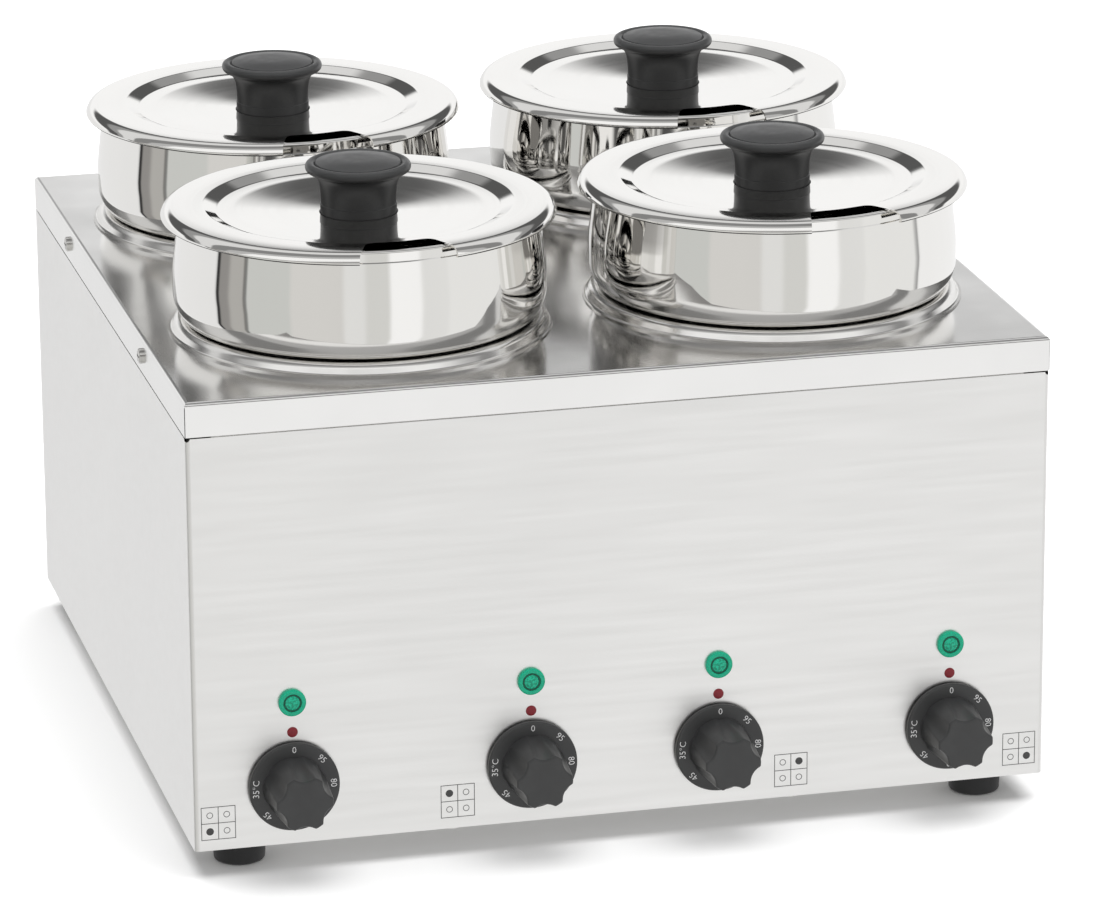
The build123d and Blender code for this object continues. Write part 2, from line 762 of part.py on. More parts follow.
# Sensing bulbs on the wells, each on a thin capillary that runs down and forward to its thermostat
with BuildPart() as sensor_bulbs:
    for spot_name, spot in pot_spots.items():
        side = 1 if spot[0] < 0 else -1
        bulb_x = spot[0] + side * (well_radius + well_wall + bulb_radius + face_gap)
        bulb_z = deck_z - well_depth + bulb_rise
        knob_x = knob_columns[spot_name]
        end_y = front_y + sheet + thermostat_long
        run_z = knob_z + capillary_run if spot[1] < mid_y else knob_z - capillary_run
        with BuildSketch(Plane(origin=(bulb_x, spot[1], bulb_z))):
            Circle(bulb_radius)
        extrude(amount=bulb_length)
        with BuildLine():
            capillary = FilletPolyline(
                (bulb_x, spot[1], bulb_z + bulb_dip),
                (bulb_x, spot[1], run_z),
                (bulb_x, end_y + capillary_turn, run_z),
                (knob_x, end_y + capillary_turn, run_z),
                (knob_x, end_y, run_z),
                radius=capillary_bend,
            )
        with BuildSketch(Plane(origin=(bulb_x, spot[1], bulb_z + bulb_dip))):
            Circle(capillary_radius)
        sweep(path=capillary)
save(sensor_bulbs, "sensor_bulbs")

# Pilot lamps: a round bezel with a groove round its lens and a body held behind the panel by a spring nut
for spot_name, x in knob_columns.items():
    face = front_face(x, lamp_z, lamp_bezel_thickness)
    with BuildPart() as pilot_lamp:
        with BuildSketch(front_face(x, lamp_z)):
            Circle(lamp_bezel_radius)
        extrude(amount=lamp_bezel_thickness)
        fillet(pilot_lamp.faces().sort_by(Axis.Y)[0].edges(), lamp_edge)
        with BuildSketch(face):
            Circle(lamp_groove_radius)
            Circle(lamp_lens_radius, mode=Mode.SUBTRACT)
        extrude(amount=-lamp_groove_depth, mode=Mode.SUBTRACT)
        with BuildSketch(front_face(x, lamp_z)):
            Circle(lamp_body_radius)
        extrude(amount=-lamp_body_length)
    save(pilot_lamp, f"pilot_lamp_{spot_name}")

with BuildPart() as lamp_nuts:
    for x in knob_columns.values():
        with BuildSketch(front_face(x, lamp_z, -sheet)):
            Circle(lamp_body_radius + lamp_nut_width)
            Circle(lamp_body_radius + bore_clearance, mode=Mode.SUBTRACT)
        extrude(amount=-lamp_nut_thickness)
save(lamp_nuts, "lamp_nuts")

# Cable entry in the rear panel: gland body, lock nut inside, dome nut outside, and the terminal block
with BuildPart() as cable_gland:
    with BuildSketch(rear_face(gland_x, gland_z)):
        RegularPolygon(gland_flat_to_flat / 2, 6, major_radius=False)
    extrude(amount=gland_flange)
    with BuildSketch(rear_face(gland_x, gland_z)):
        Circle(gland_thread_radius)
    extrude(amount=-gland_inside)
    with BuildSketch(rear_face(gland_x, gland_z)):
        Circle(cable_bore_radius)
    extrude(amount=2 * gland_inside, both=True, mode=Mode.SUBTRACT)
save(cable_gland, "cable_gland")

with BuildPart() as gland_dome_nut:
    with BuildSketch(rear_face(gland_x, gland_z, gland_flange)):
        Circle(gland_flat_to_flat / 2 - gland_dome_inset)
    extrude(amount=gland_dome)
    fillet(gland_dome_nut.faces().sort_by(Axis.Y)[-1].edges(), gland_dome_edge)
    with BuildSketch(rear_face(gland_x, gland_z, gland_flange)):
        with PolarLocations(gland_flat_to_flat / 2, gland_grips):
            Rectangle(gland_grip_cut, gland_grip_width)
    extrude(amount=gland_grip_length, mode=Mode.SUBTRACT)
    with BuildSketch(rear_face(gland_x, gland_z, gland_flange)):
        Circle(cable_bore_radius)
    extrude(amount=gland_dome, mode=Mode.SUBTRACT)
save(gland_dome_nut, "gland_dome_nut")

with BuildPart() as gland_lock_nut:
    lock_plane = rear_face(gland_x, gland_z, -sheet - nut_thickness)
    add(hex_nut(lock_plane, lock_nut_flat_to_flat, nut_thickness, gland_thread_radius + bore_clearance))
save(gland_lock_nut, "gland_lock_nut")

with BuildPart() as terminal_block:
    with BuildSketch(Plane.XY.offset(plate_top)):
        with Locations((gland_x - block_width / 2 - block_side_gap, back_y - block_rear_gap)):
            Rectangle(block_width, block_depth)
    extrude(amount=block_height)
    chamfer(terminal_block.faces().sort_by(Axis.Z)[-1].edges(), block_edge)
    with BuildSketch(terminal_block.faces().sort_by(Axis.Z)[-1]):
        with GridLocations(block_pitch, 0, block_poles, 1):
            Circle(block_hole_radius)
    extrude(amount=-block_hole_depth, mode=Mode.SUBTRACT)
save(terminal_block, "terminal_block")
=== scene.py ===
"""Looks of a four-pot bain marie, built round its frame. Laid out as an add-on and run as a script."""
import math

import bmesh
import bpy
from mathutils import Matrix, Vector
from mathutils.geometry import interpolate_bezier


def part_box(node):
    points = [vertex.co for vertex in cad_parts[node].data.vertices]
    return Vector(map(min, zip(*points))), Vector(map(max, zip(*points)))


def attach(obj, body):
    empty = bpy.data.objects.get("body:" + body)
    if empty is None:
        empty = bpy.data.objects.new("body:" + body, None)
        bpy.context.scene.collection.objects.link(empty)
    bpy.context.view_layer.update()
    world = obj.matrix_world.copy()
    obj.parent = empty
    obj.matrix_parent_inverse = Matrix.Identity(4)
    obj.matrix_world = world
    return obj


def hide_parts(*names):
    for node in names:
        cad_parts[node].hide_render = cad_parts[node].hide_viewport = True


bl_info = {
    "name": "Bain marie with four pots",
    "version": (1, 0, 0),
    "blender": (4, 5, 0),
    "location": "3D View > Sidebar > Bain marie",
    "description": "Pots, lids, knobs, lamps, printed marks and finishes of a bain marie, round its frame",
    "category": "Object",
}

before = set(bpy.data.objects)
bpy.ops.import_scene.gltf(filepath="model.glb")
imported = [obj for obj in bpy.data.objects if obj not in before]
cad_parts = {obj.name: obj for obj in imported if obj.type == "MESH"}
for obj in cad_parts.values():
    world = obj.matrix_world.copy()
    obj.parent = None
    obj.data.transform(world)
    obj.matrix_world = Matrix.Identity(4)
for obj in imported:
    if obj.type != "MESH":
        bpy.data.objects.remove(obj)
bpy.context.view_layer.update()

SPOTS = ("front_left", "back_left", "back_right", "front_right")
MM = 0.001
DECK_LIP = 16 * MM
DECK_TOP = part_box("top_deck")[0].z + DECK_LIP
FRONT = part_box("housing_shell")[0].y
FLOOR_OF_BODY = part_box("housing_shell")[0].z
FACING_USER = Matrix(((1, 0, 0), (0, 0, -1), (0, 1, 0)))


def middle_of(node):
    """Middle of a node's box."""
    low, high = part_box(node)
    return (low + high) / 2


def over(spot):
    """The point on the deck's top face on a pot's axis."""
    middle = middle_of(f"pot_{spot}")
    return Vector((middle.x, middle.y, DECK_TOP))


def length(name, default_mm, about):
    """A size that a user may change, in metres, with its default given in millimetres."""
    return bpy.props.FloatProperty(
        name=name, description=about, default=default_mm * MM, precision=5, unit="LENGTH", subtype="DISTANCE"
    )


def tint(name, default, about):
    """A colour that a user may change."""
    return bpy.props.FloatVectorProperty(
        name=name, description=about, default=default, size=3, min=0, max=1, subtype="COLOR"
    )


def angle(name, default_degrees, about):
    """An angle that a user may change, with its default given in degrees."""
    return bpy.props.FloatProperty(
        name=name, description=about, default=math.radians(default_degrees), subtype="ANGLE", unit="ROTATION"
    )


def plain(name, default, about):
    """A bare number that a user may change."""
    return bpy.props.FloatProperty(name=name, description=about, default=default)


class PotSizes(bpy.types.PropertyGroup):
    """Sizes of the wells, pots, lids and lid knobs, with heights over the deck."""

    well_radius: length("Well radius", 77.2, "Inner radius of a well")
    well_wall: length("Well wall", 0.8, "Sheet thickness of a well")
    well_depth: length("Well depth", 140.0, "Depth of a well's floor under the deck")
    well_corner: length("Well corner", 10.0, "Radius between a well's wall and floor")
    bead_height: length("Bead height", 5.5, "Height of the rolled bead round a well")
    bead_width: length("Bead width", 9.4, "Width of the rolled bead round a well")
    bead_flare: length("Bead flare", 1.6, "Width of the thin flange that lies on the deck")
    pot_gap: length("Pot clearance", 1.3, "Gap between a pot's lower wall and its well")
    pot_wall: length("Pot wall", 0.8, "Sheet thickness of a pot")
    pot_depth: length("Pot depth", 125.0, "Depth of a pot's underside under the deck")
    pot_corner: length("Pot corner", 9.0, "Radius between a pot's wall and underside")
    rest_gap: length("Rest gap", 0.3, "Gap where a pot or a lid rests")
    belly_radius: length("Belly radius", 85.6, "Outer radius of a pot over the deck")
    shoulder: length("Shoulder", 8.7, "Height of a pot's rounded shoulder")
    neck: length("Neck", 2.7, "How far a pot narrows towards its rim")
    rim_height: length("Rim height", 56.5, "Height of a pot's rim")
    rim_band: length("Rim band", 5.4, "Height of the band under a pot's rim")
    rim_step: length("Rim step", 0.6, "Step above the line round a pot's neck")
    pot_hem: length("Pot hem", 2.2, "Width of a pot's turned-in rim")
    lid_radius: length("Lid radius", 91.0, "Outer radius of a lid")
    lid_wall: length("Lid wall", 0.8, "Sheet thickness of a lid")
    recess_radius: length("Recess radius", 71.0, "Outer radius of a lid's recess")
    recess_run: length("Recess run", 6.0, "Width of the slope round a lid's recess")
    recess_depth: length("Recess depth", 4.6, "Depth of a lid's recess")
    dish_seat: length("Dish seat", 16.5, "Radius of the flat under a lid's knob")
    dish_radius: length("Dish radius", 57.0, "Outer radius of the gentle dish in a lid's recess")
    dish_rise: length("Dish rise", 2.1, "How far the dish rises from the knob outwards")
    dish_curve: length("Dish curve", 60.0, "Radius of the dish's gentle bends")
    lid_drop: length("Lid drop", 5.2, "Height of a lid's turned-down rim")
    lid_lean: length("Lid lean", 2.2, "How far a lid's turned-down rim leans out")
    lid_curve: length("Lid curve", 4.6, "Radius of a lid's turned-down rim")
    lid_hem: length("Lid hem", 2.2, "Width of a lid's turned-in hem")
    hem_curve: length("Hem curve", 1.1, "Radius of a lid's turned-in hem")
    notch_start: length("Notch start", 70.4, "Distance of a notch's inner edge from the axis")
    notch_inner: length("Notch inner width", 30.0, "Width of a notch at its inner edge")
    notch_outer: length("Notch outer width", 47.0, "Width of a notch at the lid's rim")
    notch_corner: length("Notch corner", 5.0, "Radius of a notch's inner corners")
    knob_base: length("Knob base", 17.5, "Radius of a lid knob's foot")
    knob_foot: length("Knob foot", 4.2, "Height of a lid knob's foot")
    knob_stem: length("Knob stem", 17.2, "Radius of a lid knob's stem")
    knob_roll: length("Knob roll", 2.3, "Radius of the roll round a lid knob's cap")
    knob_roll_out: length("Knob roll out", 21.9, "Distance of the roll's middle from the axis")
    knob_roll_up: length("Knob roll up", 21.4, "Height of the roll's middle")
    knob_disc: length("Knob disc", 19.4, "Radius of the domed disc in a lid knob's cap")
    knob_disc_up: length("Knob disc up", 23.5, "Height of the domed disc's edge")
    knob_height: length("Knob height", 25.0, "Height of a lid knob")


class ControlSizes(bpy.types.PropertyGroup):
    """Sizes of the dials, lamps and printed marks on the front."""

    skirt_radius: length("Skirt radius", 20.8, "Radius of a dial's skirt")
    skirt_thickness: length("Skirt thickness", 2.6, "Thickness of a dial's skirt")
    skirt_bevel: length("Skirt bevel", 1.0, "Bevel round a dial's skirt")
    hollow_depth: length("Hollow depth", 1.3, "Depth of the hollow in a dial's back")
    grip_radius: length("Grip radius", 14.6, "Radius of a dial's grip where it meets the skirt")
    grip_taper: angle("Grip taper", 4.0, "How much a dial's grip narrows towards its face")
    grip_length: length("Grip length", 23.0, "Length of a dial's grip")
    grip_edge: length("Grip edge", 1.0, "Rounding round a dial's face")
    flute_radius: length("Flute radius", 8.0, "Radius of the flutes of a dial's grip")
    flute_foot: length("Flute foot", 0.6, "Depth of the flutes at the skirt")
    flute_depth: length("Flute depth", 2.4, "Depth of the flutes at a dial's face")
    digit_height: length("Digit height", 2.9, "Height of the numbers on a dial")
    digit_ring: length("Digit ring", 17.9, "Radius of the ring of numbers on a dial")
    dot_radius: length("Dot radius", 2.45, "Radius of the index dot over a dial")
    dot_height: length("Dot height", 53.2, "Height of the index dot over the housing's underside")
    lamp_radius: length("Lamp radius", 6.3, "Radius of a lamp's bezel")
    lamp_thickness: length("Lamp thickness", 2.0, "How far a lamp's bezel stands out")
    lamp_groove: length("Lamp groove", 4.2, "Outer radius of the groove round a lamp's lens")
    lens_radius: length("Lens radius", 3.3, "Radius of a lamp's lens")
    sign_size: length("Sign size", 15.5, "Width of a pot sign")
    sign_line: length("Sign line", 0.32, "Width of a pot sign's lines")
    sign_height: length("Sign height", 13.0, "Height of a pot sign over the housing's underside")


class Finishes(bpy.types.PropertyGroup):
    """Colours of the finishes."""

    housing: tint("Housing", (0.885, 0.88, 0.87), "Satin sheet steel of the housing")
    deck: tint("Deck", (0.85, 0.845, 0.835), "Satin sheet steel of the deck")
    polished: tint("Polished", (0.90, 0.89, 0.87), "Polished steel of the pots and lids")
    plastic: tint("Plastic", (0.031, 0.0315, 0.032), "Plastic of the knobs")
    print_white: tint("White print", (0.74, 0.74, 0.74), "Numbers on the dials")
    print_black: tint("Black print", (0.045, 0.045, 0.045), "Lines and spots of the pot signs")
    dot: tint("Dot", (0.185, 0.004, 0.012), "Index dots over the dials")
    lamp: tint("Lamp", (0.006, 0.33, 0.19), "Bezels of the pilot lamps")
    lens: tint("Lens", (0.012, 0.42, 0.25), "Lit marks in the lenses of the pilot lamps")


class StageSettings(bpy.types.PropertyGroup):
    """Camera and light."""

    lens: bpy.props.FloatProperty(
        name="Lens", description="Focal length on a 36 mm sensor", default=202.0, unit="CAMERA"
    )
    camera_place: bpy.props.FloatVectorProperty(
        name="Camera place",
        description="Where the camera stands",
        default=(-0.666, -2.752, 1.021),
        subtype="TRANSLATION",
    )
    yaw: angle("Yaw", 13.88, "Turn of the camera to the right of straight ahead")
    pitch: angle("Pitch", 17.51, "How far the camera looks down")
    roll: angle("Roll", -0.34, "Lean of the camera")
    key_power: plain("Key power", 200.0, "Power of the lamp over the object, in watts")
    world_power: plain("World power", 1.0, "Strength of the surrounding light")


def sizes():
    """The pots' sizes."""
    return bpy.context.scene.bain_marie_pots


def controls():
    """The controls' sizes."""
    return bpy.context.scene.bain_marie_controls


def finishes():
    """The colours."""
    return bpy.context.scene.bain_marie_finishes


def settings():
    """Camera and light."""
    return bpy.context.scene.bain_marie_stage


# Outlines and meshes
def cross(a, b):
    """Third component of the cross product of two plane vectors."""
    return a.x * b.y - a.y * b.x


def rounded(points, radii, step=math.radians(7.5)):
    """Points of an open outline whose inner corners are turned into arcs of the given radii."""
    outline = [Vector(points[0])]
    for before, corner, after, radius in zip(points, points[1:], points[2:], radii):
        corner = Vector(corner)
        back = (Vector(before) - corner).normalized()
        ahead = (Vector(after) - corner).normalized()
        bend = math.pi - back.angle(ahead)
        if radius <= 0:
            outline.append(corner)
            continue
        centre = corner + (back + ahead).normalized() * radius / math.cos(bend / 2)
        spoke = corner + back * radius * math.tan(bend / 2) - centre
        way = -math.copysign(1, cross(back, ahead))
        count = max(2, math.ceil(bend / step))
        for i in range(count + 1):
            outline.append(centre + Matrix.Rotation(way * bend * i / count, 2) @ spoke)
    outline.append(Vector(points[-1]))
    return outline


def divided(outline, longest):
    """The outline with its long stretches cut into shorter ones."""
    points = [outline[0]]
    for start, end in zip(outline, outline[1:]):
        count = max(1, math.ceil((end - start).length / longest))
        points += [start.lerp(end, i / count) for i in range(1, count + 1)]
    return points


def walled(path, wall):
    """Closed outline of a wall of that thickness to the left of an open path."""
    other = []
    for i, point in enumerate(path):
        along = (path[min(i + 1, len(path) - 1)] - path[max(i - 1, 0)]).normalized()
        other.append(point + Vector((-along.y, along.x)) * wall)
    return path + other[::-1]


def lathe(outline, segments=192):
    """Mesh data of a closed outline of (radius, height) points turned about the z axis."""
    places, rings, faces = [], [], []
    for radius, height in outline:
        if radius < 1e-6:
            rings.append([len(places)] * segments)
            places.append((0, 0, height))
            continue
        rings.append(list(range(len(places), len(places) + segments)))
        for i in range(segments):
            turn = math.tau * i / segments
            places.append((radius * math.cos(turn), radius * math.sin(turn), height))
    for low, high in zip(rings, rings[1:] + rings[:1]):
        for i in range(segments):
            j = (i + 1) % segments
            corners = list(dict.fromkeys((low[i], low[j], high[j], high[i])))
            if len(corners) > 2:
                faces.append(corners)
    return places, faces


def prism(outline, low, high):
    """Mesh data of a closed outline of (x, y) points raised from one height to another."""
    count = len(outline)
    places = [(x, y, low) for x, y in outline] + [(x, y, high) for x, y in outline]
    faces = [(i, (i + 1) % count, (i + 1) % count + count, i + count) for i in range(count)]
    return places, faces + [list(range(count))[::-1], list(range(count, 2 * count))]


def joined(*parts):
    """Several meshes' data as one."""
    places, faces = [], []
    for more_places, more_faces in parts:
        start = len(places)
        places += list(more_places)
        faces += [[corner + start for corner in face] for face in more_faces]
    return places, faces


def moved(data, matrix):
    """Mesh data moved by a matrix."""
    places, faces = data
    return [matrix @ Vector(place) for place in places], faces


def solid(name, data):
    """A new object of some mesh data, with its points welded and its faces turned outwards."""
    mesh = bpy.data.meshes.new(name)
    mesh.from_pydata([tuple(place) for place in data[0]], [], data[1])
    shell = bmesh.new()
    shell.from_mesh(mesh)
    bmesh.ops.remove_doubles(shell, verts=shell.verts, dist=1e-7)
    bmesh.ops.recalc_face_normals(shell, faces=shell.faces)
    shell.to_mesh(mesh)
    shell.free()
    piece = bpy.data.objects.new(name, mesh)
    bpy.context.scene.collection.objects.link(piece)
    return piece


def make(name, data, material, body, at=(0, 0, 0), turn=None, instead_of=()):
    """Turn mesh data into a smooth object that rides on a body."""
    piece = solid(name, data)
    piece.data.materials.append(material)
    smooth(piece.data, 35)
    piece.matrix_world = Matrix.Translation(at) @ (turn or Matrix()).to_4x4()
    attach(piece, body)
    if instead_of:
        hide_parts(*instead_of)
    return piece


def smooth(mesh, sharp):
    """Smooth shading, with edges kept sharp where faces meet at more than that many degrees."""
    mesh.shade_smooth()
    mesh.set_sharp_from_angle(angle=math.radians(sharp))


def cut(piece, data, sharp):
    """Take the shape of some mesh data, given in the piece's own space, out of a piece."""
    cutter = solid("cutter", data)
    cutter.matrix_world = piece.matrix_world
    modifier = piece.modifiers.new("cut", "BOOLEAN")
    modifier.object = cutter
    modifier.operation = "DIFFERENCE"
    modifier.solver = "EXACT"
    bpy.context.view_layer.update()
    result = bpy.data.meshes.new_from_object(piece.evaluated_get(bpy.context.evaluated_depsgraph_get()))
    piece.modifiers.clear()
    old = piece.data
    result.name = old.name
    piece.data = result
    bpy.data.meshes.remove(old)
    mesh = cutter.data
    bpy.data.objects.remove(cutter)
    bpy.data.meshes.remove(mesh)
    smooth(result, sharp)


# Materials
def finish(name, colour, metallic, roughness):
    """A new material with one principled shader."""
    material = bpy.data.materials.new(name)
    material.use_nodes = True
    shader = material.node_tree.nodes["Principled BSDF"]
    shader.inputs["Base Color"].default_value = (*colour, 1)
    shader.inputs["Metallic"].default_value = metallic
    shader.inputs["Roughness"].default_value = roughness
    return material


def node(tree, kind, *sources, operation=None):
    """A new shader node of a kind, with the sources linked to its first inputs."""
    made = tree.nodes.new("ShaderNode" + kind)
    if operation:
        made.operation = operation
    for socket, source in zip(made.inputs, sources):
        tree.links.new(source, socket)
    return made


def noise(material, scale, stretch=(1, 1, 1), detail=3.0, rings=False):
    """Noise in the object's own space, or over rings round its z axis; returns the node's output."""
    tree = material.node_tree
    place = node(tree, "TexCoord").outputs["Object"]
    if rings:
        flat = node(tree, "VectorMath", place, operation="MULTIPLY")
        flat.inputs[1].default_value = (1, 1, 0)
        radius = node(tree, "VectorMath", flat.outputs[0], operation="LENGTH").outputs["Value"]
        place = node(tree, "CombineXYZ", radius, node(tree, "SeparateXYZ", place).outputs["Z"]).outputs[0]
    mapping = node(tree, "Mapping", place)
    mapping.inputs["Scale"].default_value = stretch
    texture = node(tree, "TexNoise", mapping.outputs["Vector"])
    texture.inputs["Scale"].default_value = scale
    texture.inputs["Detail"].default_value = detail
    return texture.outputs["Fac"]


def vary(material, socket, value, low, high, start=0.3, end=0.7):
    """Drive a shader's number with a noise, between two values."""
    tree = material.node_tree
    spread = node(tree, "MapRange", value)
    spread.inputs["From Min"].default_value = start
    spread.inputs["From Max"].default_value = end
    spread.inputs["To Min"].default_value = low
    spread.inputs["To Max"].default_value = high
    tree.links.new(spread.outputs["Result"], tree.nodes["Principled BSDF"].inputs[socket])


def tinted(material, value, low, high, start=0.3, end=0.7):
    """Let a shader's colour run between two colours with a noise."""
    tree = material.node_tree
    ramp = node(tree, "ValToRGB", value)
    ramp.color_ramp.elements[0].position = start
    ramp.color_ramp.elements[0].color = (*low, 1)
    ramp.color_ramp.elements[1].position = end
    ramp.color_ramp.elements[1].color = (*high, 1)
    tree.links.new(ramp.outputs["Color"], tree.nodes["Principled BSDF"].inputs["Base Color"])


def relief(material, value, depth, strength=1.0):
    """Add a fine relief to a material, on top of any that it has."""
    tree = material.node_tree
    normal = tree.nodes["Principled BSDF"].inputs["Normal"]
    bump = node(tree, "Bump")
    bump.inputs["Strength"].default_value = strength
    bump.inputs["Distance"].default_value = depth
    tree.links.new(value, bump.inputs["Height"])
    if normal.links:
        tree.links.new(normal.links[0].from_socket, bump.inputs["Normal"])
    tree.links.new(bump.outputs["Normal"], normal)


def scaled(colour, factor):
    """A colour made lighter or darker."""
    return tuple(part * factor for part in colour)


def housing_steel():
    """Fine-ground sheet steel, nearly matt."""
    colour = finishes().housing
    material = finish("housing_steel", colour, 1.0, 0.34)
    tinted(material, noise(material, 9.0, (1, 1, 0.5)), scaled(colour, 0.985), scaled(colour, 1.01))
    vary(material, "Roughness", noise(material, 260.0, (0.05, 1, 1)), 0.30, 0.38)
    relief(material, noise(material, 900.0, (0.03, 0.5, 1)), 0.00001, 0.5)
    return material


def deck_steel():
    """Satin sheet steel that mirrors what stands on it softly."""
    colour = finishes().deck
    material = finish("deck_steel", colour, 1.0, 0.15)
    tinted(material, noise(material, 14.0), scaled(colour, 0.97), scaled(colour, 1.02))
    vary(material, "Roughness", noise(material, 22.0, (1, 1, 1), 5.0), 0.12, 0.19)
    relief(material, noise(material, 1100.0, (0.04, 1, 1)), 0.00001, 0.35)
    return material


def polished_steel():
    """Mirror-polished steel with faint upright polishing marks."""
    colour = finishes().polished
    material = finish("polished_steel", colour, 1.0, 0.04)
    tinted(material, noise(material, 30.0, (1, 1, 0.05)), scaled(colour, 0.97), scaled(colour, 1.0))
    vary(material, "Roughness", noise(material, 120.0, (1, 1, 0.12), 5.0), 0.02, 0.065)
    relief(material, noise(material, 26.0, (1, 1, 0.10), 1.0), 0.0006, 0.25)
    return material


def spun_steel():
    """Steel of the lids, polished on a wheel, with faint rings."""
    colour = finishes().polished
    material = finish("spun_steel", colour, 1.0, 0.05)
    tinted(material, noise(material, 18.0), scaled(colour, 0.975), scaled(colour, 1.0))
    vary(material, "Roughness", noise(material, 420.0, (1, 1, 1), 3.0, rings=True), 0.03, 0.075)
    relief(material, noise(material, 1500.0, (1, 1, 1), 2.0, rings=True), 0.00001, 0.2)
    return material


def bead_steel():
    """Steel of the wells, smooth but not a mirror."""
    colour = scaled(finishes().polished, 0.94)
    material = finish("bead_steel", colour, 1.0, 0.18)
    vary(material, "Roughness", noise(material, 60.0, (1, 1, 1), 4.0), 0.14, 0.23)
    relief(material, noise(material, 40.0, (1, 1, 0.4), 2.0), 0.0004, 0.15)
    return material


def black_plastic():
    """Satin moulded plastic."""
    colour = finishes().plastic
    material = finish("black_plastic", colour, 0.0, 0.36)
    tinted(material, noise(material, 60.0, detail=4.0), scaled(colour, 0.9), scaled(colour, 1.1))
    vary(material, "Roughness", noise(material, 200.0, detail=3.0), 0.33, 0.40)
    relief(material, noise(material, 2600.0, detail=2.0), 0.00001, 0.25)
    return material


def green_plastic(name, low, high, roughness):
    """Green plastic of the lamps, mottled between two greens."""
    material = finish(name, high, 0.0, roughness)
    shader = material.node_tree.nodes["Principled BSDF"]
    shader.inputs["Specular IOR Level"].default_value = 0.25
    shader.inputs["Coat Weight"].default_value = 0.08
    tinted(material, noise(material, 1300.0, detail=2.0), scaled(low, 0.92), scaled(high, 1.05), 0.42, 0.58)
    return material


def printed(name, colour):
    """Ink or paint on a smooth face."""
    material = finish(name, colour, 0.0, 0.45)
    tinted(material, noise(material, 900.0), scaled(colour, 0.9), scaled(colour, 1.1))
    return material


def black_rubber():
    """Matt rubber of the feet."""
    colour = (0.018, 0.018, 0.019)
    material = finish("black_rubber", colour, 0.0, 0.7)
    tinted(material, noise(material, 80.0, detail=5.0), scaled(colour, 0.8), scaled(colour, 1.3))
    relief(material, noise(material, 1800.0), 0.00004, 0.5)
    return material


def worked_metal(name, colour, roughness, scale):
    """Metal of screws and of the pieces inside, with uneven gloss."""
    material = finish(name, colour, 1.0, roughness)
    tinted(material, noise(material, scale), scaled(colour, 0.85), scaled(colour, 1.08))
    vary(material, "Roughness", noise(material, scale * 2), roughness * 0.8, roughness * 1.25)
    return material


def moulded(name, colour, roughness):
    """Plain moulded plastic with a fine grain."""
    material = finish(name, colour, 0.0, roughness)
    tinted(material, noise(material, 70.0), scaled(colour, 0.92), scaled(colour, 1.05))
    relief(material, noise(material, 2000.0), 0.00002, 0.35)
    return material


def dress(material, *nodes):
    """Give CAD nodes a material."""
    for name in nodes:
        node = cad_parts[name]
        node.data.materials.clear()
        node.data.materials.append(material)


# Outlines of the round pieces, as (radius, height over the deck)
def well_outline():
    """A well: a drawn cup with a rolled bead that ends in a thin flange on the deck."""
    s = sizes()
    out = s.well_radius + s.bead_width
    path = rounded(
        [
            (0, -s.well_depth),
            (s.well_radius, -s.well_depth),
            (s.well_radius, s.bead_height),
            (out - 2 * MM, s.bead_height),
            (out, s.well_wall),
            (out + s.bead_flare, s.well_wall),
        ],
        [s.well_corner, 2.8 * MM, 3.6 * MM, 1.0 * MM],
    )
    return walled(path, -s.well_wall)


def pot_outline():
    """A pot: a lower wall that hangs in its well, a shoulder, a belly and a turned-in rim."""
    s = sizes()
    low_radius = s.well_radius - s.pot_gap
    ledge = s.bead_height + s.rest_gap
    neck = s.belly_radius - s.neck
    path = rounded(
        [
            (0, -s.pot_depth),
            (low_radius, -s.pot_depth),
            (low_radius, ledge),
            (s.belly_radius - 3.8 * MM, ledge),
            (s.belly_radius, ledge + s.shoulder),
            (s.belly_radius, s.rim_height / 2),
            (neck, s.rim_height - s.rim_band),
            (neck - s.rim_step, s.rim_height - s.rim_band + 0.4 * MM),
            (neck - s.rim_step - 0.3 * MM, s.rim_height),
            (neck - s.rim_step - s.pot_hem, s.rim_height),
        ],
        [s.pot_corner, 1.6 * MM, 5.0 * MM, 14.0 * MM, 60.0 * MM, 0, 0, 1.2 * MM],
        math.radians(4),
    )
    return walled(path, s.pot_wall)


def lid_outline():
    """A lid: a recessed middle, a flat band and a turned-down rim."""
    s = sizes()
    top = s.rim_height + s.rest_gap + s.lid_wall
    low = top - s.recess_depth
    recess = s.recess_radius - s.recess_run
    path = rounded(
        [
            (0, low),
            (s.dish_seat, low),
            (s.dish_radius, low + s.dish_rise),
            (recess, low + s.dish_rise),
            (s.recess_radius, top),
            (s.lid_radius - s.lid_lean, top),
            (s.lid_radius, top - s.lid_drop),
            (s.lid_radius - s.lid_hem, top - s.lid_drop),
        ],
        [s.dish_curve, s.dish_curve, 3.0 * MM, 2.2 * MM, s.lid_curve, s.hem_curve],
        math.radians(5),
    )
    return walled(divided(path, 12 * MM), -s.lid_wall)


def lid_floor():
    """Height of the recess's floor over the deck."""
    s = sizes()
    return s.rim_height + s.rest_gap + s.lid_wall - s.recess_depth


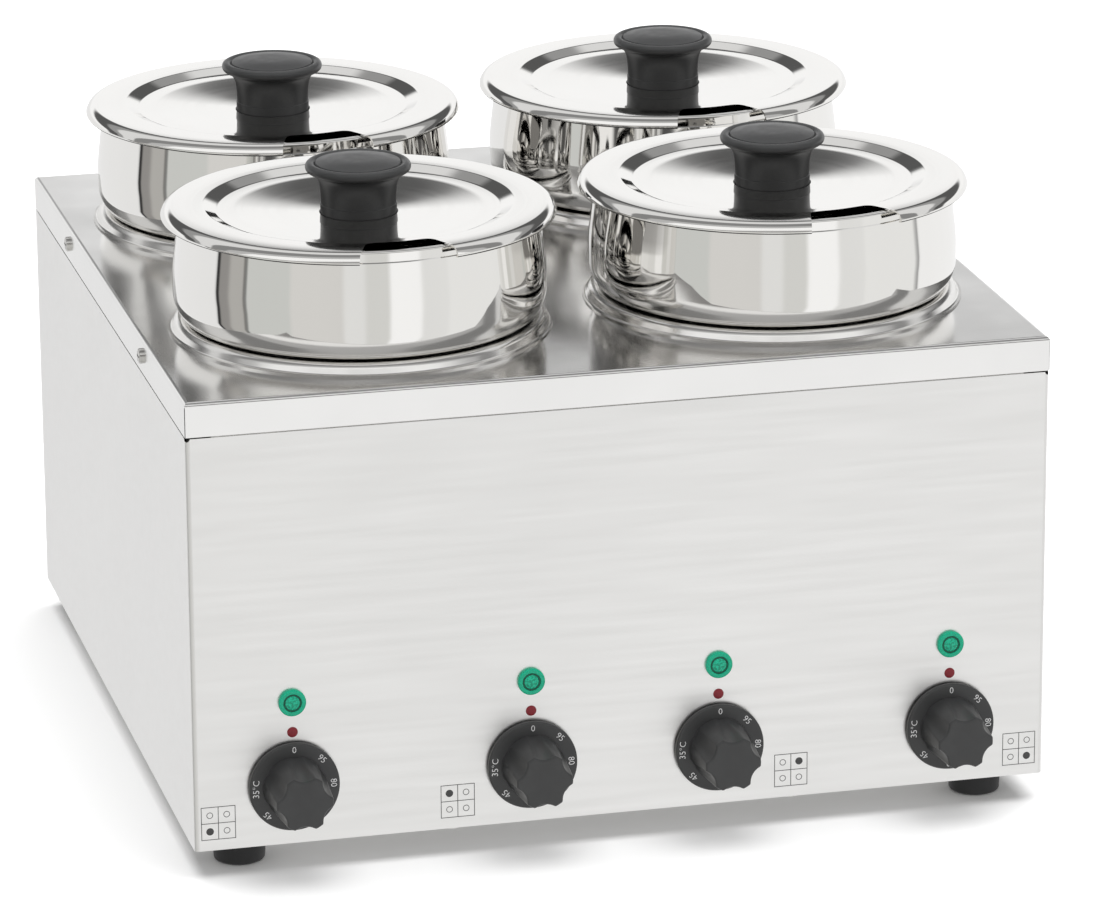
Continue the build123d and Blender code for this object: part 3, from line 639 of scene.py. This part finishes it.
def lid_knob_outline():
    """A lid knob: a stem on a stepped foot that flares into a rounded roll round a domed disc."""
    s = sizes()
    roll_middle = Vector((s.knob_roll_out, s.knob_roll_up))
    roll = []
    for degrees in range(-70, 151, 10):
        turn = math.radians(degrees)
        roll.append(roll_middle + s.knob_roll * Vector((math.cos(turn), math.sin(turn))))
    start = Vector((s.knob_stem, s.knob_foot + 0.3 * MM))
    along = (roll[1] - roll[0]).normalized()
    upright, sweep, flat, dome_curve = 11 * MM, 4.5 * MM, 11 * MM, 60 * MM
    flare = interpolate_bezier(start, start + Vector((0, upright)), roll[0] - along * sweep, roll[0], 24)
    dome = [(s.knob_disc, s.knob_disc_up), (flat, s.knob_height), (0, s.knob_height)]
    crown = rounded(dome, [dome_curve], math.radians(2))
    foot = [Vector((0, 0)), Vector((s.knob_base, 0)), Vector((s.knob_base, s.knob_foot))]
    return foot + [point.to_2d() for point in flare] + roll[1:] + crown


def grip_radius_at(turn, radius, depth):
    """Radius of the fluted grip in one direction, for a round of the given radius and flutes that deep."""
    c = controls()
    pitch = math.tau / 6
    off = (turn - math.pi / 2 + pitch / 2) % pitch - pitch / 2
    centre = radius + c.flute_radius - depth
    under = c.flute_radius**2 - (centre * math.sin(off)) ** 2
    if under <= 0:
        return radius
    flute = centre * math.cos(off) - math.sqrt(under)
    soft = min(0.7 * MM, depth)
    blend = max(soft - abs(radius - flute), 0) / max(soft, 1e-6)
    return min(radius, flute) - blend**2 * soft / 4


def dial_data():
    """A dial: a hollow-backed skirt with a bevelled edge and a fluted grip, its face towards +z."""
    c = controls()
    skirt = lathe(
        rounded(
            [
                (0, c.hollow_depth),
                (c.skirt_radius - 2 * MM, c.hollow_depth),
                (c.skirt_radius - 2 * MM, 0),
                (c.skirt_radius, 0),
                (c.skirt_radius, c.skirt_thickness),
                (0, c.skirt_thickness),
            ],
            [0, 0, 0.4 * MM, c.skirt_bevel],
        ),
        160,
    )
    hub_radius, hub_height = 7 * MM, c.skirt_thickness / 2
    hub = lathe([(0, 0), (hub_radius, 0), (hub_radius, hub_height), (0, hub_height)], 48)
    face_radius = c.grip_radius - c.grip_length * math.tan(c.grip_taper)
    levels = rounded([(c.grip_radius, 0), (face_radius, c.grip_length), (0, c.grip_length)], [c.grip_edge])
    levels = divided(levels[:2], 0.8 * MM) + levels[2:]
    segments = 240
    places, faces = [], []
    for radius, height in levels[:-1]:
        depth = c.flute_foot + (c.flute_depth - c.flute_foot) * height / c.grip_length
        for i in range(segments):
            turn = math.tau * i / segments
            reach = grip_radius_at(turn, radius, depth)
            places.append((reach * math.cos(turn), reach * math.sin(turn), height + c.skirt_thickness))
    for ring in range(len(levels) - 2):
        for i in range(segments):
            j = (i + 1) % segments
            low, high = ring * segments, (ring + 1) * segments
            faces.append((low + i, low + j, high + j, high + i))
    last = (len(levels) - 2) * segments
    middle = len(places)
    places.append((0, 0, levels[-1].y + c.skirt_thickness))
    faces += [(last + i, last + (i + 1) % segments, middle) for i in range(segments)]
    faces.append(list(range(segments))[::-1])
    return joined(skirt, hub, (places, faces))


def lamp_data():
    """A pilot lamp, its face towards +z: a bezel with the body behind, a groove's floor and a ridged lens."""
    c = controls()
    bezel = lathe(
        rounded(
            [
                (c.lamp_groove, 0),
                (c.lamp_radius, 0),
                (c.lamp_radius, c.lamp_thickness),
                (c.lamp_groove, c.lamp_thickness),
                (c.lamp_groove, 0),
            ],
            [0, 0.8 * MM, 0.3 * MM],
        )[:-1],
        96,
    )
    groove = ring_data(c.lamp_groove, c.lens_radius, 0, c.lamp_thickness - 0.4 * MM)
    count = 48
    pitch = 0.62 * MM
    places, faces = [], []
    for j in range(count + 1):
        for i in range(count + 1):
            u, v = 2 * i / count - 1, 2 * j / count - 1
            x = u * math.sqrt(1 - v * v / 2) * c.lens_radius
            y = v * math.sqrt(1 - u * u / 2) * c.lens_radius
            ridge = abs((x + y) / pitch % 1 - 0.5) + abs((x - y) / pitch % 1 - 0.5)
            edge = min(1, (1 - math.hypot(x, y) / c.lens_radius) * 6)
            dome = 0.5 * MM * (1 - (x * x + y * y) / c.lens_radius**2)
            places.append((x, y, c.lamp_thickness - 0.5 * MM + dome + ridge * 0.2 * MM * edge))
    for j in range(count):
        for i in range(count):
            start = j * (count + 1) + i
            faces.append((start, start + 1, start + count + 2, start + count + 1))
    skin = len(places)
    border = list(range(count + 1))
    border += [(j + 1) * (count + 1) + count for j in range(count)]
    border += [count * (count + 1) + i for i in range(count - 1, -1, -1)]
    border += [j * (count + 1) for j in range(count - 1, 0, -1)]
    places += [(places[i][0], places[i][1], 0) for i in border]
    total = len(border)
    faces += [(border[i], border[(i + 1) % total], skin + (i + 1) % total, skin + i) for i in range(total)]
    faces.append([skin + i for i in range(total)][::-1])
    body = lathe(rounded([(0, 0), (4.9 * MM, 0), (4.9 * MM, -24 * MM), (0, -24 * MM)], [0, 0.5 * MM]), 48)
    return joined(bezel, body), groove, (places, faces)


def foot_outline():
    """A rubber foot with a recess for its screw."""
    radius, height, recess, depth, hole = 12.5 * MM, 15 * MM, 5.6 * MM, 8 * MM, 2.2 * MM
    return rounded(
        [
            (hole, height),
            (hole, depth),
            (recess, depth),
            (recess, 0),
            (radius - 0.8 * MM, 0),
            (radius, height - 1 * MM),
            (radius, height),
            (hole, height),
        ],
        [0, 0, 0, 1.5 * MM, 0, 0],
    )[:-1]


def text_data(words, height):
    """Mesh data of flat words of a given height, centred on the origin, with a thickness of a hair."""
    curve = bpy.data.curves.new("words", "FONT")
    curve.body = words
    curve.size = height / 0.70
    curve.extrude = 0.03 * MM
    curve.offset = -0.05 * MM
    curve.resolution_u = 3
    curve.align_x = "CENTER"
    curve.align_y = "CENTER"
    holder = bpy.data.objects.new("words", curve)
    bpy.context.scene.collection.objects.link(holder)
    bpy.context.view_layer.update()
    mesh = bpy.data.meshes.new_from_object(holder.evaluated_get(bpy.context.evaluated_depsgraph_get()))
    places = [vertex.co.copy() for vertex in mesh.vertices]
    faces = [list(face.vertices) for face in mesh.polygons]
    bpy.data.objects.remove(holder)
    bpy.data.curves.remove(curve)
    bpy.data.meshes.remove(mesh)
    middle_x = (min(p.x for p in places) + max(p.x for p in places)) / 2
    middle_y = (min(p.y for p in places) + max(p.y for p in places)) / 2
    return [p - Vector((middle_x, middle_y, 0)) for p in places], faces


def ring_data(outer, inner, low, high):
    """Mesh data of a flat ring."""
    return lathe([(inner, low), (outer, low), (outer, high), (inner, high)], 48)


def bar_data(x0, y0, x1, y1, low, high):
    """Mesh data of a flat bar."""
    return prism([(x0, y0), (x1, y0), (x1, y1), (x0, y1)], low, high)


# Operators, one for each piece or group of like pieces
class BAIN_MARIE_OT_housing(bpy.types.Operator):
    """Finish the housing, the deck and what is screwed to them"""

    bl_idname = "bain_marie.housing"
    bl_label = "Housing"

    def execute(self, context):
        dress(housing_steel(), "housing_shell", "rear_panel", "bottom_plate")
        dress(deck_steel(), "top_deck")
        screws = worked_metal("screw_steel", (0.70, 0.69, 0.67), 0.22, 300.0)
        dress(screws, "deck_screws", "rear_panel_screws", "bottom_plate_screws", "foot_screws", "foot_nuts")
        return {"FINISHED"}


class BAIN_MARIE_OT_inner_pieces(bpy.types.Operator):
    """Finish the pieces inside the housing and the cable entry"""

    bl_idname = "bain_marie.inner_pieces"
    bl_label = "Inner pieces"

    def execute(self, context):
        sheath = worked_metal("sheath_steel", (0.30, 0.28, 0.26), 0.42, 90.0)
        dress(sheath, "heater_clamps", *[f"heating_element_{spot}" for spot in SPOTS])
        plated = worked_metal("plated_steel", (0.66, 0.65, 0.60), 0.30, 120.0)
        dress(plated, *[f"thermostat_{spot}" for spot in SPOTS])
        zinc = worked_metal("zinc", (0.66, 0.66, 0.66), 0.28, 260.0)
        dress(zinc, "heater_nuts", "thermostat_screws", "lamp_nuts")
        dress(zinc, *[f"thermostat_shaft_{spot}" for spot in SPOTS])
        dress(zinc, *[f"lid_knob_screw_{spot}" for spot in SPOTS])
        dress(worked_metal("copper", (0.72, 0.36, 0.20), 0.32, 140.0), "sensor_bulbs")
        gland = moulded("gland_plastic", (0.022, 0.022, 0.024), 0.5)
        dress(gland, "cable_gland", "gland_dome_nut", "gland_lock_nut")
        dress(moulded("white_plastic", (0.78, 0.77, 0.72), 0.45), "terminal_block")
        return {"FINISHED"}


class BAIN_MARIE_OT_wells(bpy.types.Operator):
    """Turn the four wells with their rolled beads"""

    bl_idname = "bain_marie.wells"
    bl_label = "Wells"

    def execute(self, context):
        material = bead_steel()
        s = sizes()
        stud = lathe([(0, -18 * MM), (3 * MM, -18 * MM), (3 * MM, 0), (0, 0)], 32)
        stud = moved(stud, Matrix.Translation((0, 0, -s.well_depth)))
        data = joined(lathe(divided(well_outline(), 12 * MM), 256), stud)
        for spot in SPOTS:
            node = f"well_{spot}"
            piece = make(f"well_shell_{spot}", data, material, "root", over(spot), instead_of=[node])
        return {"FINISHED"}


class BAIN_MARIE_OT_pots(bpy.types.Operator):
    """Turn the four pots"""

    bl_idname = "bain_marie.pots"
    bl_label = "Pots"

    def execute(self, context):
        material = polished_steel()
        data = lathe(divided(pot_outline(), 6 * MM), 288)
        for spot in SPOTS:
            node = f"pot_{spot}"
            piece = make(f"pot_shell_{spot}", data, material, node, over(spot), instead_of=[node])
        return {"FINISHED"}


class BAIN_MARIE_OT_lids(bpy.types.Operator):
    """Turn the four lids, cut their notches and paint a dark shade on the steel of their lower edges"""

    bl_idname = "bain_marie.lids"
    bl_label = "Lids"

    def execute(self, context):
        material = spun_steel()
        # Painted shade: the lowest 0.7 mm of each lid's rim gets a near-black metal, standing in for the dark
        # line of shade under the rim
        painted_shade = worked_metal("hem_painted_shade", (0.07, 0.07, 0.07), 0.45, 200.0)
        s = sizes()
        painted_shade_height = s.rim_height + s.rest_gap + s.lid_wall - s.lid_drop + 0.7 * MM
        data = lathe(lid_outline(), 288)
        for spot in SPOTS:
            node = f"lid_{spot}"
            piece = make(f"lid_shell_{spot}", data, material, node, over(spot), instead_of=[node])
            cut(piece, self.notch(s, math.radians(NOTCH_TURNS[spot])), 32)
            piece.data.materials.append(painted_shade)
            for face in piece.data.polygons:
                face.material_index = int(face.center.z < painted_shade_height)
        return {"FINISHED"}

    @staticmethod
    def notch(s, turn):
        """The shape that is cut out of a lid's rim."""
        inner, outer = s.notch_inner / 2, s.notch_outer / 2
        rim, far = -s.lid_radius + 1.5 * MM, -s.lid_radius - 1 * MM
        flare = outer + 4 * MM
        outline = rounded(
            [
                (-flare, far),
                (-outer, rim),
                (-inner, -s.notch_start),
                (inner, -s.notch_start),
                (outer, rim),
                (flare, far),
            ],
            [2.5 * MM, s.notch_corner, s.notch_corner, 2.5 * MM],
        )
        low = s.rim_height - 12 * MM
        return moved(prism(outline, low, s.rim_height + 12 * MM), Matrix.Rotation(turn, 4, "Z"))


class BAIN_MARIE_OT_lid_knobs(bpy.types.Operator):
    """Turn the four lid knobs"""

    bl_idname = "bain_marie.lid_knobs"
    bl_label = "Lid knobs"

    def execute(self, context):
        material = black_plastic()
        data = lathe(lid_knob_outline(), 160)
        rise = Vector((0, 0, lid_floor()))
        for spot in SPOTS:
            name = f"lid_knob_{spot}"
            place = over(spot) + rise
            piece = make(f"lid_grip_{spot}", data, material, f"lid_{spot}", place, instead_of=[name])
        return {"FINISHED"}


class BAIN_MARIE_OT_dials(bpy.types.Operator):
    """Mould the four dials and print their numbers"""

    bl_idname = "bain_marie.dials"
    bl_label = "Dials"

    def execute(self, context):
        c = controls()
        material = bpy.data.materials["black_plastic"]
        white = printed("white_print", finishes().print_white)
        data = dial_data()
        marks = []
        for words, degrees in DIAL_MARKS:
            turn = Matrix.Rotation(-math.radians(degrees), 4, "Z")
            rise = Matrix.Translation((0, c.digit_ring, c.skirt_thickness + 0.02 * MM))
            marks.append(moved(text_data(words, c.digit_height), turn @ rise))
        for spot in SPOTS:
            node = f"dial_knob_{spot}"
            middle = middle_of(node)
            seat = (middle.x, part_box(node)[1].y, middle.z)
            piece = make(f"dial_{spot}", data, material, f"dial_{spot}", seat, FACING_USER, instead_of=[node])
            make(f"dial_numbers_{spot}", joined(*marks), white, f"dial_{spot}", seat, FACING_USER)
        return {"FINISHED"}


class BAIN_MARIE_OT_lamps(bpy.types.Operator):
    """Mould the four pilot lamps and paint the index dots under them"""

    bl_idname = "bain_marie.lamps"
    bl_label = "Lamps and index dots"

    def execute(self, context):
        c = controls()
        colour = finishes().lamp
        greens = (
            green_plastic("lamp_green", colour, colour, 0.16),
            # Painted shade: the groove's floor is the bezel green darkened to a fifth, standing in for the
            # shade in the groove
            green_plastic("lamp_groove_painted_shade", scaled(colour, 0.2), scaled(colour, 0.28), 0.5),
            green_plastic("lens_green", scaled(finishes().lens, 0.6), finishes().lens, 0.3),
        )
        red = printed("red_paint", finishes().dot)
        dot = lathe(
            rounded(
                [
                    (0, 0),
                    (c.dot_radius, 0),
                    (c.dot_radius, 0.2 * MM),
                    (c.dot_radius / 2, 0.45 * MM),
                    (0, 0.45 * MM),
                ],
                [0, 0.1 * MM, 2 * MM],
            ),
            48,
        )
        for spot in SPOTS:
            node = f"pilot_lamp_{spot}"
            middle = middle_of(node)
            seat = (middle.x, FRONT, middle.z)
            for name, data, green in zip(("lamp", "lamp_groove", "lamp_lens"), lamp_data(), greens):
                piece = make(f"{name}_{spot}", data, green, "root", seat, FACING_USER, instead_of=[node])
            place = (middle.x, FRONT, FLOOR_OF_BODY + c.dot_height)
            make(f"index_dot_{spot}", dot, red, "root", place, FACING_USER)
        return {"FINISHED"}


class BAIN_MARIE_OT_pot_signs(bpy.types.Operator):
    """Print the four small signs that show which pot a dial heats"""

    bl_idname = "bain_marie.pot_signs"
    bl_label = "Pot signs"

    def execute(self, context):
        c = controls()
        ink = printed("black_print", finishes().print_black)
        half, line = c.sign_size / 2, c.sign_line / 2
        low, high = 0, 0.04 * MM
        for x, (spot, column, row) in zip(SIGN_PLACES, SIGN_CELLS):
            parts = []
            for level in (-half, 0, half):
                parts.append(bar_data(-half - line, level - line, half + line, level + line, low, high))
            for level in (-half, 0, half):
                parts.append(bar_data(level - line, -half, level + line, half, low, high))
            for i in (-1, 1):
                for j in (-1, 1):
                    if (i, j) == (column, row):
                        mark = lathe([(0, low), (1.75 * MM, low), (1.75 * MM, high), (0, high)], 40)
                    else:
                        mark = ring_data(1.5 * MM, 1.2 * MM, low, high)
                    parts.append(moved(mark, Matrix.Translation((i * half / 2, j * half / 2, 0))))
            place = (x * MM, FRONT, FLOOR_OF_BODY + c.sign_height)
            make(f"pot_sign_{spot}", joined(*parts), ink, "root", place, FACING_USER)
        return {"FINISHED"}


class BAIN_MARIE_OT_feet(bpy.types.Operator):
    """Mould the four rubber feet"""

    bl_idname = "bain_marie.feet"
    bl_label = "Feet"

    def execute(self, context):
        low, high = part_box("rubber_feet")
        foot_radius = 12.5 * MM
        spots = [
            (x, y, 0)
            for x in (low.x + foot_radius, high.x - foot_radius)
            for y in (low.y + foot_radius, high.y - foot_radius)
        ]
        data = joined(*[moved(lathe(foot_outline(), 96), Matrix.Translation(spot)) for spot in spots])
        piece = make("feet", data, black_rubber(), "root", instead_of=["rubber_feet"])
        return {"FINISHED"}


class BAIN_MARIE_OT_stage(bpy.types.Operator):
    """Set the floor, the light and the camera"""

    bl_idname = "bain_marie.stage"
    bl_label = "Stage"

    def execute(self, context):
        scene = context.scene
        scene.view_settings.view_transform = "Standard"
        self.floor(scene)
        self.light(scene)
        self.world(scene)
        self.camera(scene)
        return {"FINISHED"}

    @staticmethod
    def floor(scene):
        """A plain pale floor."""
        half = 6.0
        mesh = bpy.data.meshes.new("floor")
        corners = [(-half, -half, 0), (half, -half, 0), (half, half, 0), (-half, half, 0)]
        mesh.from_pydata(corners, [], [(0, 1, 2, 3)])
        mesh.materials.append(finish("floor", (0.93, 0.93, 0.93), 0.0, 0.9))
        floor = bpy.data.objects.new("floor", mesh)
        scene.collection.objects.link(floor)
        floor.visible_glossy = False

    @staticmethod
    def light(scene):
        """One large soft lamp over the object."""
        lamp = bpy.data.lights.new("key", "AREA")
        lamp.shape = "RECTANGLE"
        lamp.size = 4.0
        lamp.size_y = 4.0
        lamp.energy = settings().key_power
        holder = bpy.data.objects.new("key", lamp)
        holder.location = (0.3, 0.0, 3.2)
        aim = Vector((0, 0, 0.2)) - holder.location
        holder.rotation_euler = aim.to_track_quat("-Z", "Y").to_euler()
        holder.visible_glossy = False
        scene.collection.objects.link(holder)

    @staticmethod
    def camera(scene):
        """The photograph's viewpoint."""
        st = settings()
        level = math.cos(st.pitch)
        ahead = Vector((math.sin(st.yaw) * level, math.cos(st.yaw) * level, -math.sin(st.pitch)))
        right = Vector((math.cos(st.yaw), -math.sin(st.yaw), 0))
        up = right.cross(ahead)
        turn = Matrix((right, up, -ahead)).transposed() @ Matrix.Rotation(st.roll, 3, "Z")
        lens = bpy.data.cameras.new("camera")
        lens.lens = st.lens
        lens.sensor_width = 36.0
        lens.clip_end = 50
        camera = bpy.data.objects.new("camera", lens)
        camera.matrix_world = Matrix.Translation(st.camera_place) @ turn.to_4x4()
        scene.collection.objects.link(camera)
        scene.camera = camera

    @staticmethod
    def world(scene):
        """A surround of soft panels with dark gaps, seen in reflections; the camera sees plain white."""
        st = settings()
        world = bpy.data.worlds.new("surround")
        world.use_nodes = True
        scene.world = world
        tree = world.node_tree
        direction = node(tree, "TexCoord").outputs["Generated"]

        def along(axis):
            product = node(tree, "VectorMath", direction, operation="DOT_PRODUCT")
            product.inputs[1].default_value = axis
            return product.outputs["Value"]

        def bands(first, second, stops, name):
            turn = node(tree, "Math", first, second, operation="ARCTAN2")
            share = node(tree, "Math", turn.outputs[0], operation="MULTIPLY_ADD")
            share.inputs[1].default_value = 1 / math.tau
            share.inputs[2].default_value = 0.5
            ramp = node(tree, "ValToRGB", share.outputs[0])
            ramp.name = name
            scale = ramp.color_ramp
            while len(scale.elements) > 1:
                scale.elements.remove(scale.elements[0])
            for number, (degrees, colour) in enumerate(stops):
                position = degrees / 360 + 0.5
                stop = scale.elements[0] if number == 0 else scale.elements.new(position)
                stop.position = position
                stop.color = (*colour, 1)
            return ramp.outputs["Color"]

        facing = along((-math.sin(st.yaw), -math.cos(st.yaw), 0))
        beside = along((math.cos(st.yaw), -math.sin(st.yaw), 0))
        height = along((0, 0, 1))
        round_about = bands(beside, facing, panel_stops(LOW_PANELS), "low")
        ahead = node(tree, "Math", facing, operation="MULTIPLY")
        ahead.inputs[1].default_value = -1
        overhead = bands(height, ahead.outputs[0], panel_stops(HIGH_PANELS), "high")
        share = node(tree, "MapRange", height)
        share.inputs["From Min"].default_value = math.sin(math.radians(3))
        share.inputs["From Max"].default_value = math.sin(math.radians(9))
        mix, white = node(tree, "Mix"), node(tree, "Mix")
        mix.data_type = white.data_type = "RGBA"
        white.inputs["B"].default_value = (1, 1, 1, 1)
        background = tree.nodes["Background"]
        background.inputs["Strength"].default_value = st.world_power
        for source, socket in (
            (share.outputs["Result"], mix.inputs["Factor"]),
            (round_about, mix.inputs["A"]),
            (overhead, mix.inputs["B"]),
            (node(tree, "LightPath").outputs["Is Camera Ray"], white.inputs["Factor"]),
            (mix.outputs["Result"], white.inputs["A"]),
            (white.outputs["Result"], background.inputs["Color"]),
        ):
            tree.links.new(source, socket)


def panel_stops(panels):
    """Stops of a colour ramp, with a soft step between panels that is shorter beside narrow ones."""
    starts = [start for start, colour in panels]
    stops = [panels[0]]
    for before, (start, colour), after in zip(panels, panels[1:], starts[2:] + [180.0]):
        step = min(1.3, (start - before[0]) / 4, (after - start) / 4)
        stops += [(start - step, before[1]), (start + step, colour)]
    return stops


# How far each lid's notch is turned from the front, in degrees
NOTCH_TURNS = {"front_left": 2.5, "back_left": 6.0, "back_right": 4.0, "front_right": 10.0}

# Numbers on a dial and their places, in degrees clockwise from the top
DIAL_MARKS = (("0", 0), ("95", 45), ("80", 88), ("60", 180), ("45", 225), ("35°C", 272))

# Places of the pot signs across the front in millimetres, and the filled cell of each as column and row
SIGN_PLACES = (-189.0, -78.5, 78.6, 188.4)
SIGN_CELLS = (("front_left", -1, -1), ("back_left", -1, 1), ("back_right", 1, 1), ("front_right", 1, -1))

# Light panels low down round the object, set to give the reflections of the photo: where each begins, in
# degrees round from the camera, and its colour
LOW_PANELS = (
    (-180.0, (0.86, 0.86, 0.86)),
    (-96.5, (0.04, 0.04, 0.04)),
    (-93.5, (0.30, 0.29, 0.28)),
    (-85.0, (0.46, 0.45, 0.43)),
    (-73.2, (0.03, 0.03, 0.03)),
    (-71.6, (0.62, 0.63, 0.61)),
    (-41.0, (0.70, 0.69, 0.67)),
    (-8.0, (0.80, 0.80, 0.79)),
    (5.0, (0.70, 0.70, 0.68)),
    (20.0, (1.0, 1.0, 1.0)),
    (40.0, (0.80, 0.80, 0.79)),
    (58.0, (0.85, 0.85, 0.84)),
    (98.6, (0.05, 0.05, 0.05)),
    (99.8, (0.80, 0.80, 0.80)),
    (101.2, (0.05, 0.05, 0.05)),
    (102.4, (0.95, 0.95, 0.95)),
)

# Light panels overhead, set the same way: where each begins, in degrees up from ahead, and its colour
HIGH_PANELS = (
    (-180.0, (0.8, 0.8, 0.8)),
    (0.0, (1.0, 1.0, 1.0)),
    (17.3, (0.10, 0.10, 0.10)),
    (34.0, (0.32, 0.32, 0.32)),
    (46.0, (0.75, 0.75, 0.75)),
    (78.0, (0.25, 0.25, 0.25)),
    (112.0, (0.5, 0.5, 0.5)),
    (132.0, (1.0, 1.0, 1.0)),
    (150.0, (0.24, 0.235, 0.23)),
)


class BAIN_MARIE_PT_panel(bpy.types.Panel):
    """Lists the operators and the sizes"""

    bl_idname = "BAIN_MARIE_PT_panel"
    bl_label = "Bain marie"
    bl_space_type = "VIEW_3D"
    bl_region_type = "UI"
    bl_category = "Bain marie"

    def draw(self, context):
        for operator in OPERATORS:
            self.layout.operator(operator.bl_idname)
        for group in (sizes(), controls(), finishes(), settings()):
            column = self.layout.column()
            for name in group.bl_rna.properties.keys()[2:]:
                column.prop(group, name)


GROUPS = {
    "bain_marie_pots": PotSizes,
    "bain_marie_controls": ControlSizes,
    "bain_marie_finishes": Finishes,
    "bain_marie_stage": StageSettings,
}
OPERATORS = (
    BAIN_MARIE_OT_housing,
    BAIN_MARIE_OT_inner_pieces,
    BAIN_MARIE_OT_wells,
    BAIN_MARIE_OT_pots,
    BAIN_MARIE_OT_lids,
    BAIN_MARIE_OT_lid_knobs,
    BAIN_MARIE_OT_dials,
    BAIN_MARIE_OT_lamps,
    BAIN_MARIE_OT_pot_signs,
    BAIN_MARIE_OT_feet,
    BAIN_MARIE_OT_stage,
)


def register():
    """Register the property groups, the operators and the panel."""
    for name, group in GROUPS.items():
        bpy.utils.register_class(group)
        setattr(bpy.types.Scene, name, bpy.props.PointerProperty(type=group))
    for operator in OPERATORS:
        bpy.utils.register_class(operator)
    bpy.utils.register_class(BAIN_MARIE_PT_panel)


def unregister():
    """Undo register."""
    bpy.utils.unregister_class(BAIN_MARIE_PT_panel)
    for operator in reversed(OPERATORS):
        bpy.utils.unregister_class(operator)
    for name, group in GROUPS.items():
        delattr(bpy.types.Scene, name)
        bpy.utils.unregister_class(group)


def main():
    """Build the whole object."""
    register()
    for operator in OPERATORS:
        kind, name = operator.bl_idname.split(".")
        result = getattr(getattr(bpy.ops, kind), name)()
        if result != {"FINISHED"}:
            raise RuntimeError(f"{operator.bl_idname} didn't finish")


if __name__ == "__main__":
    main()
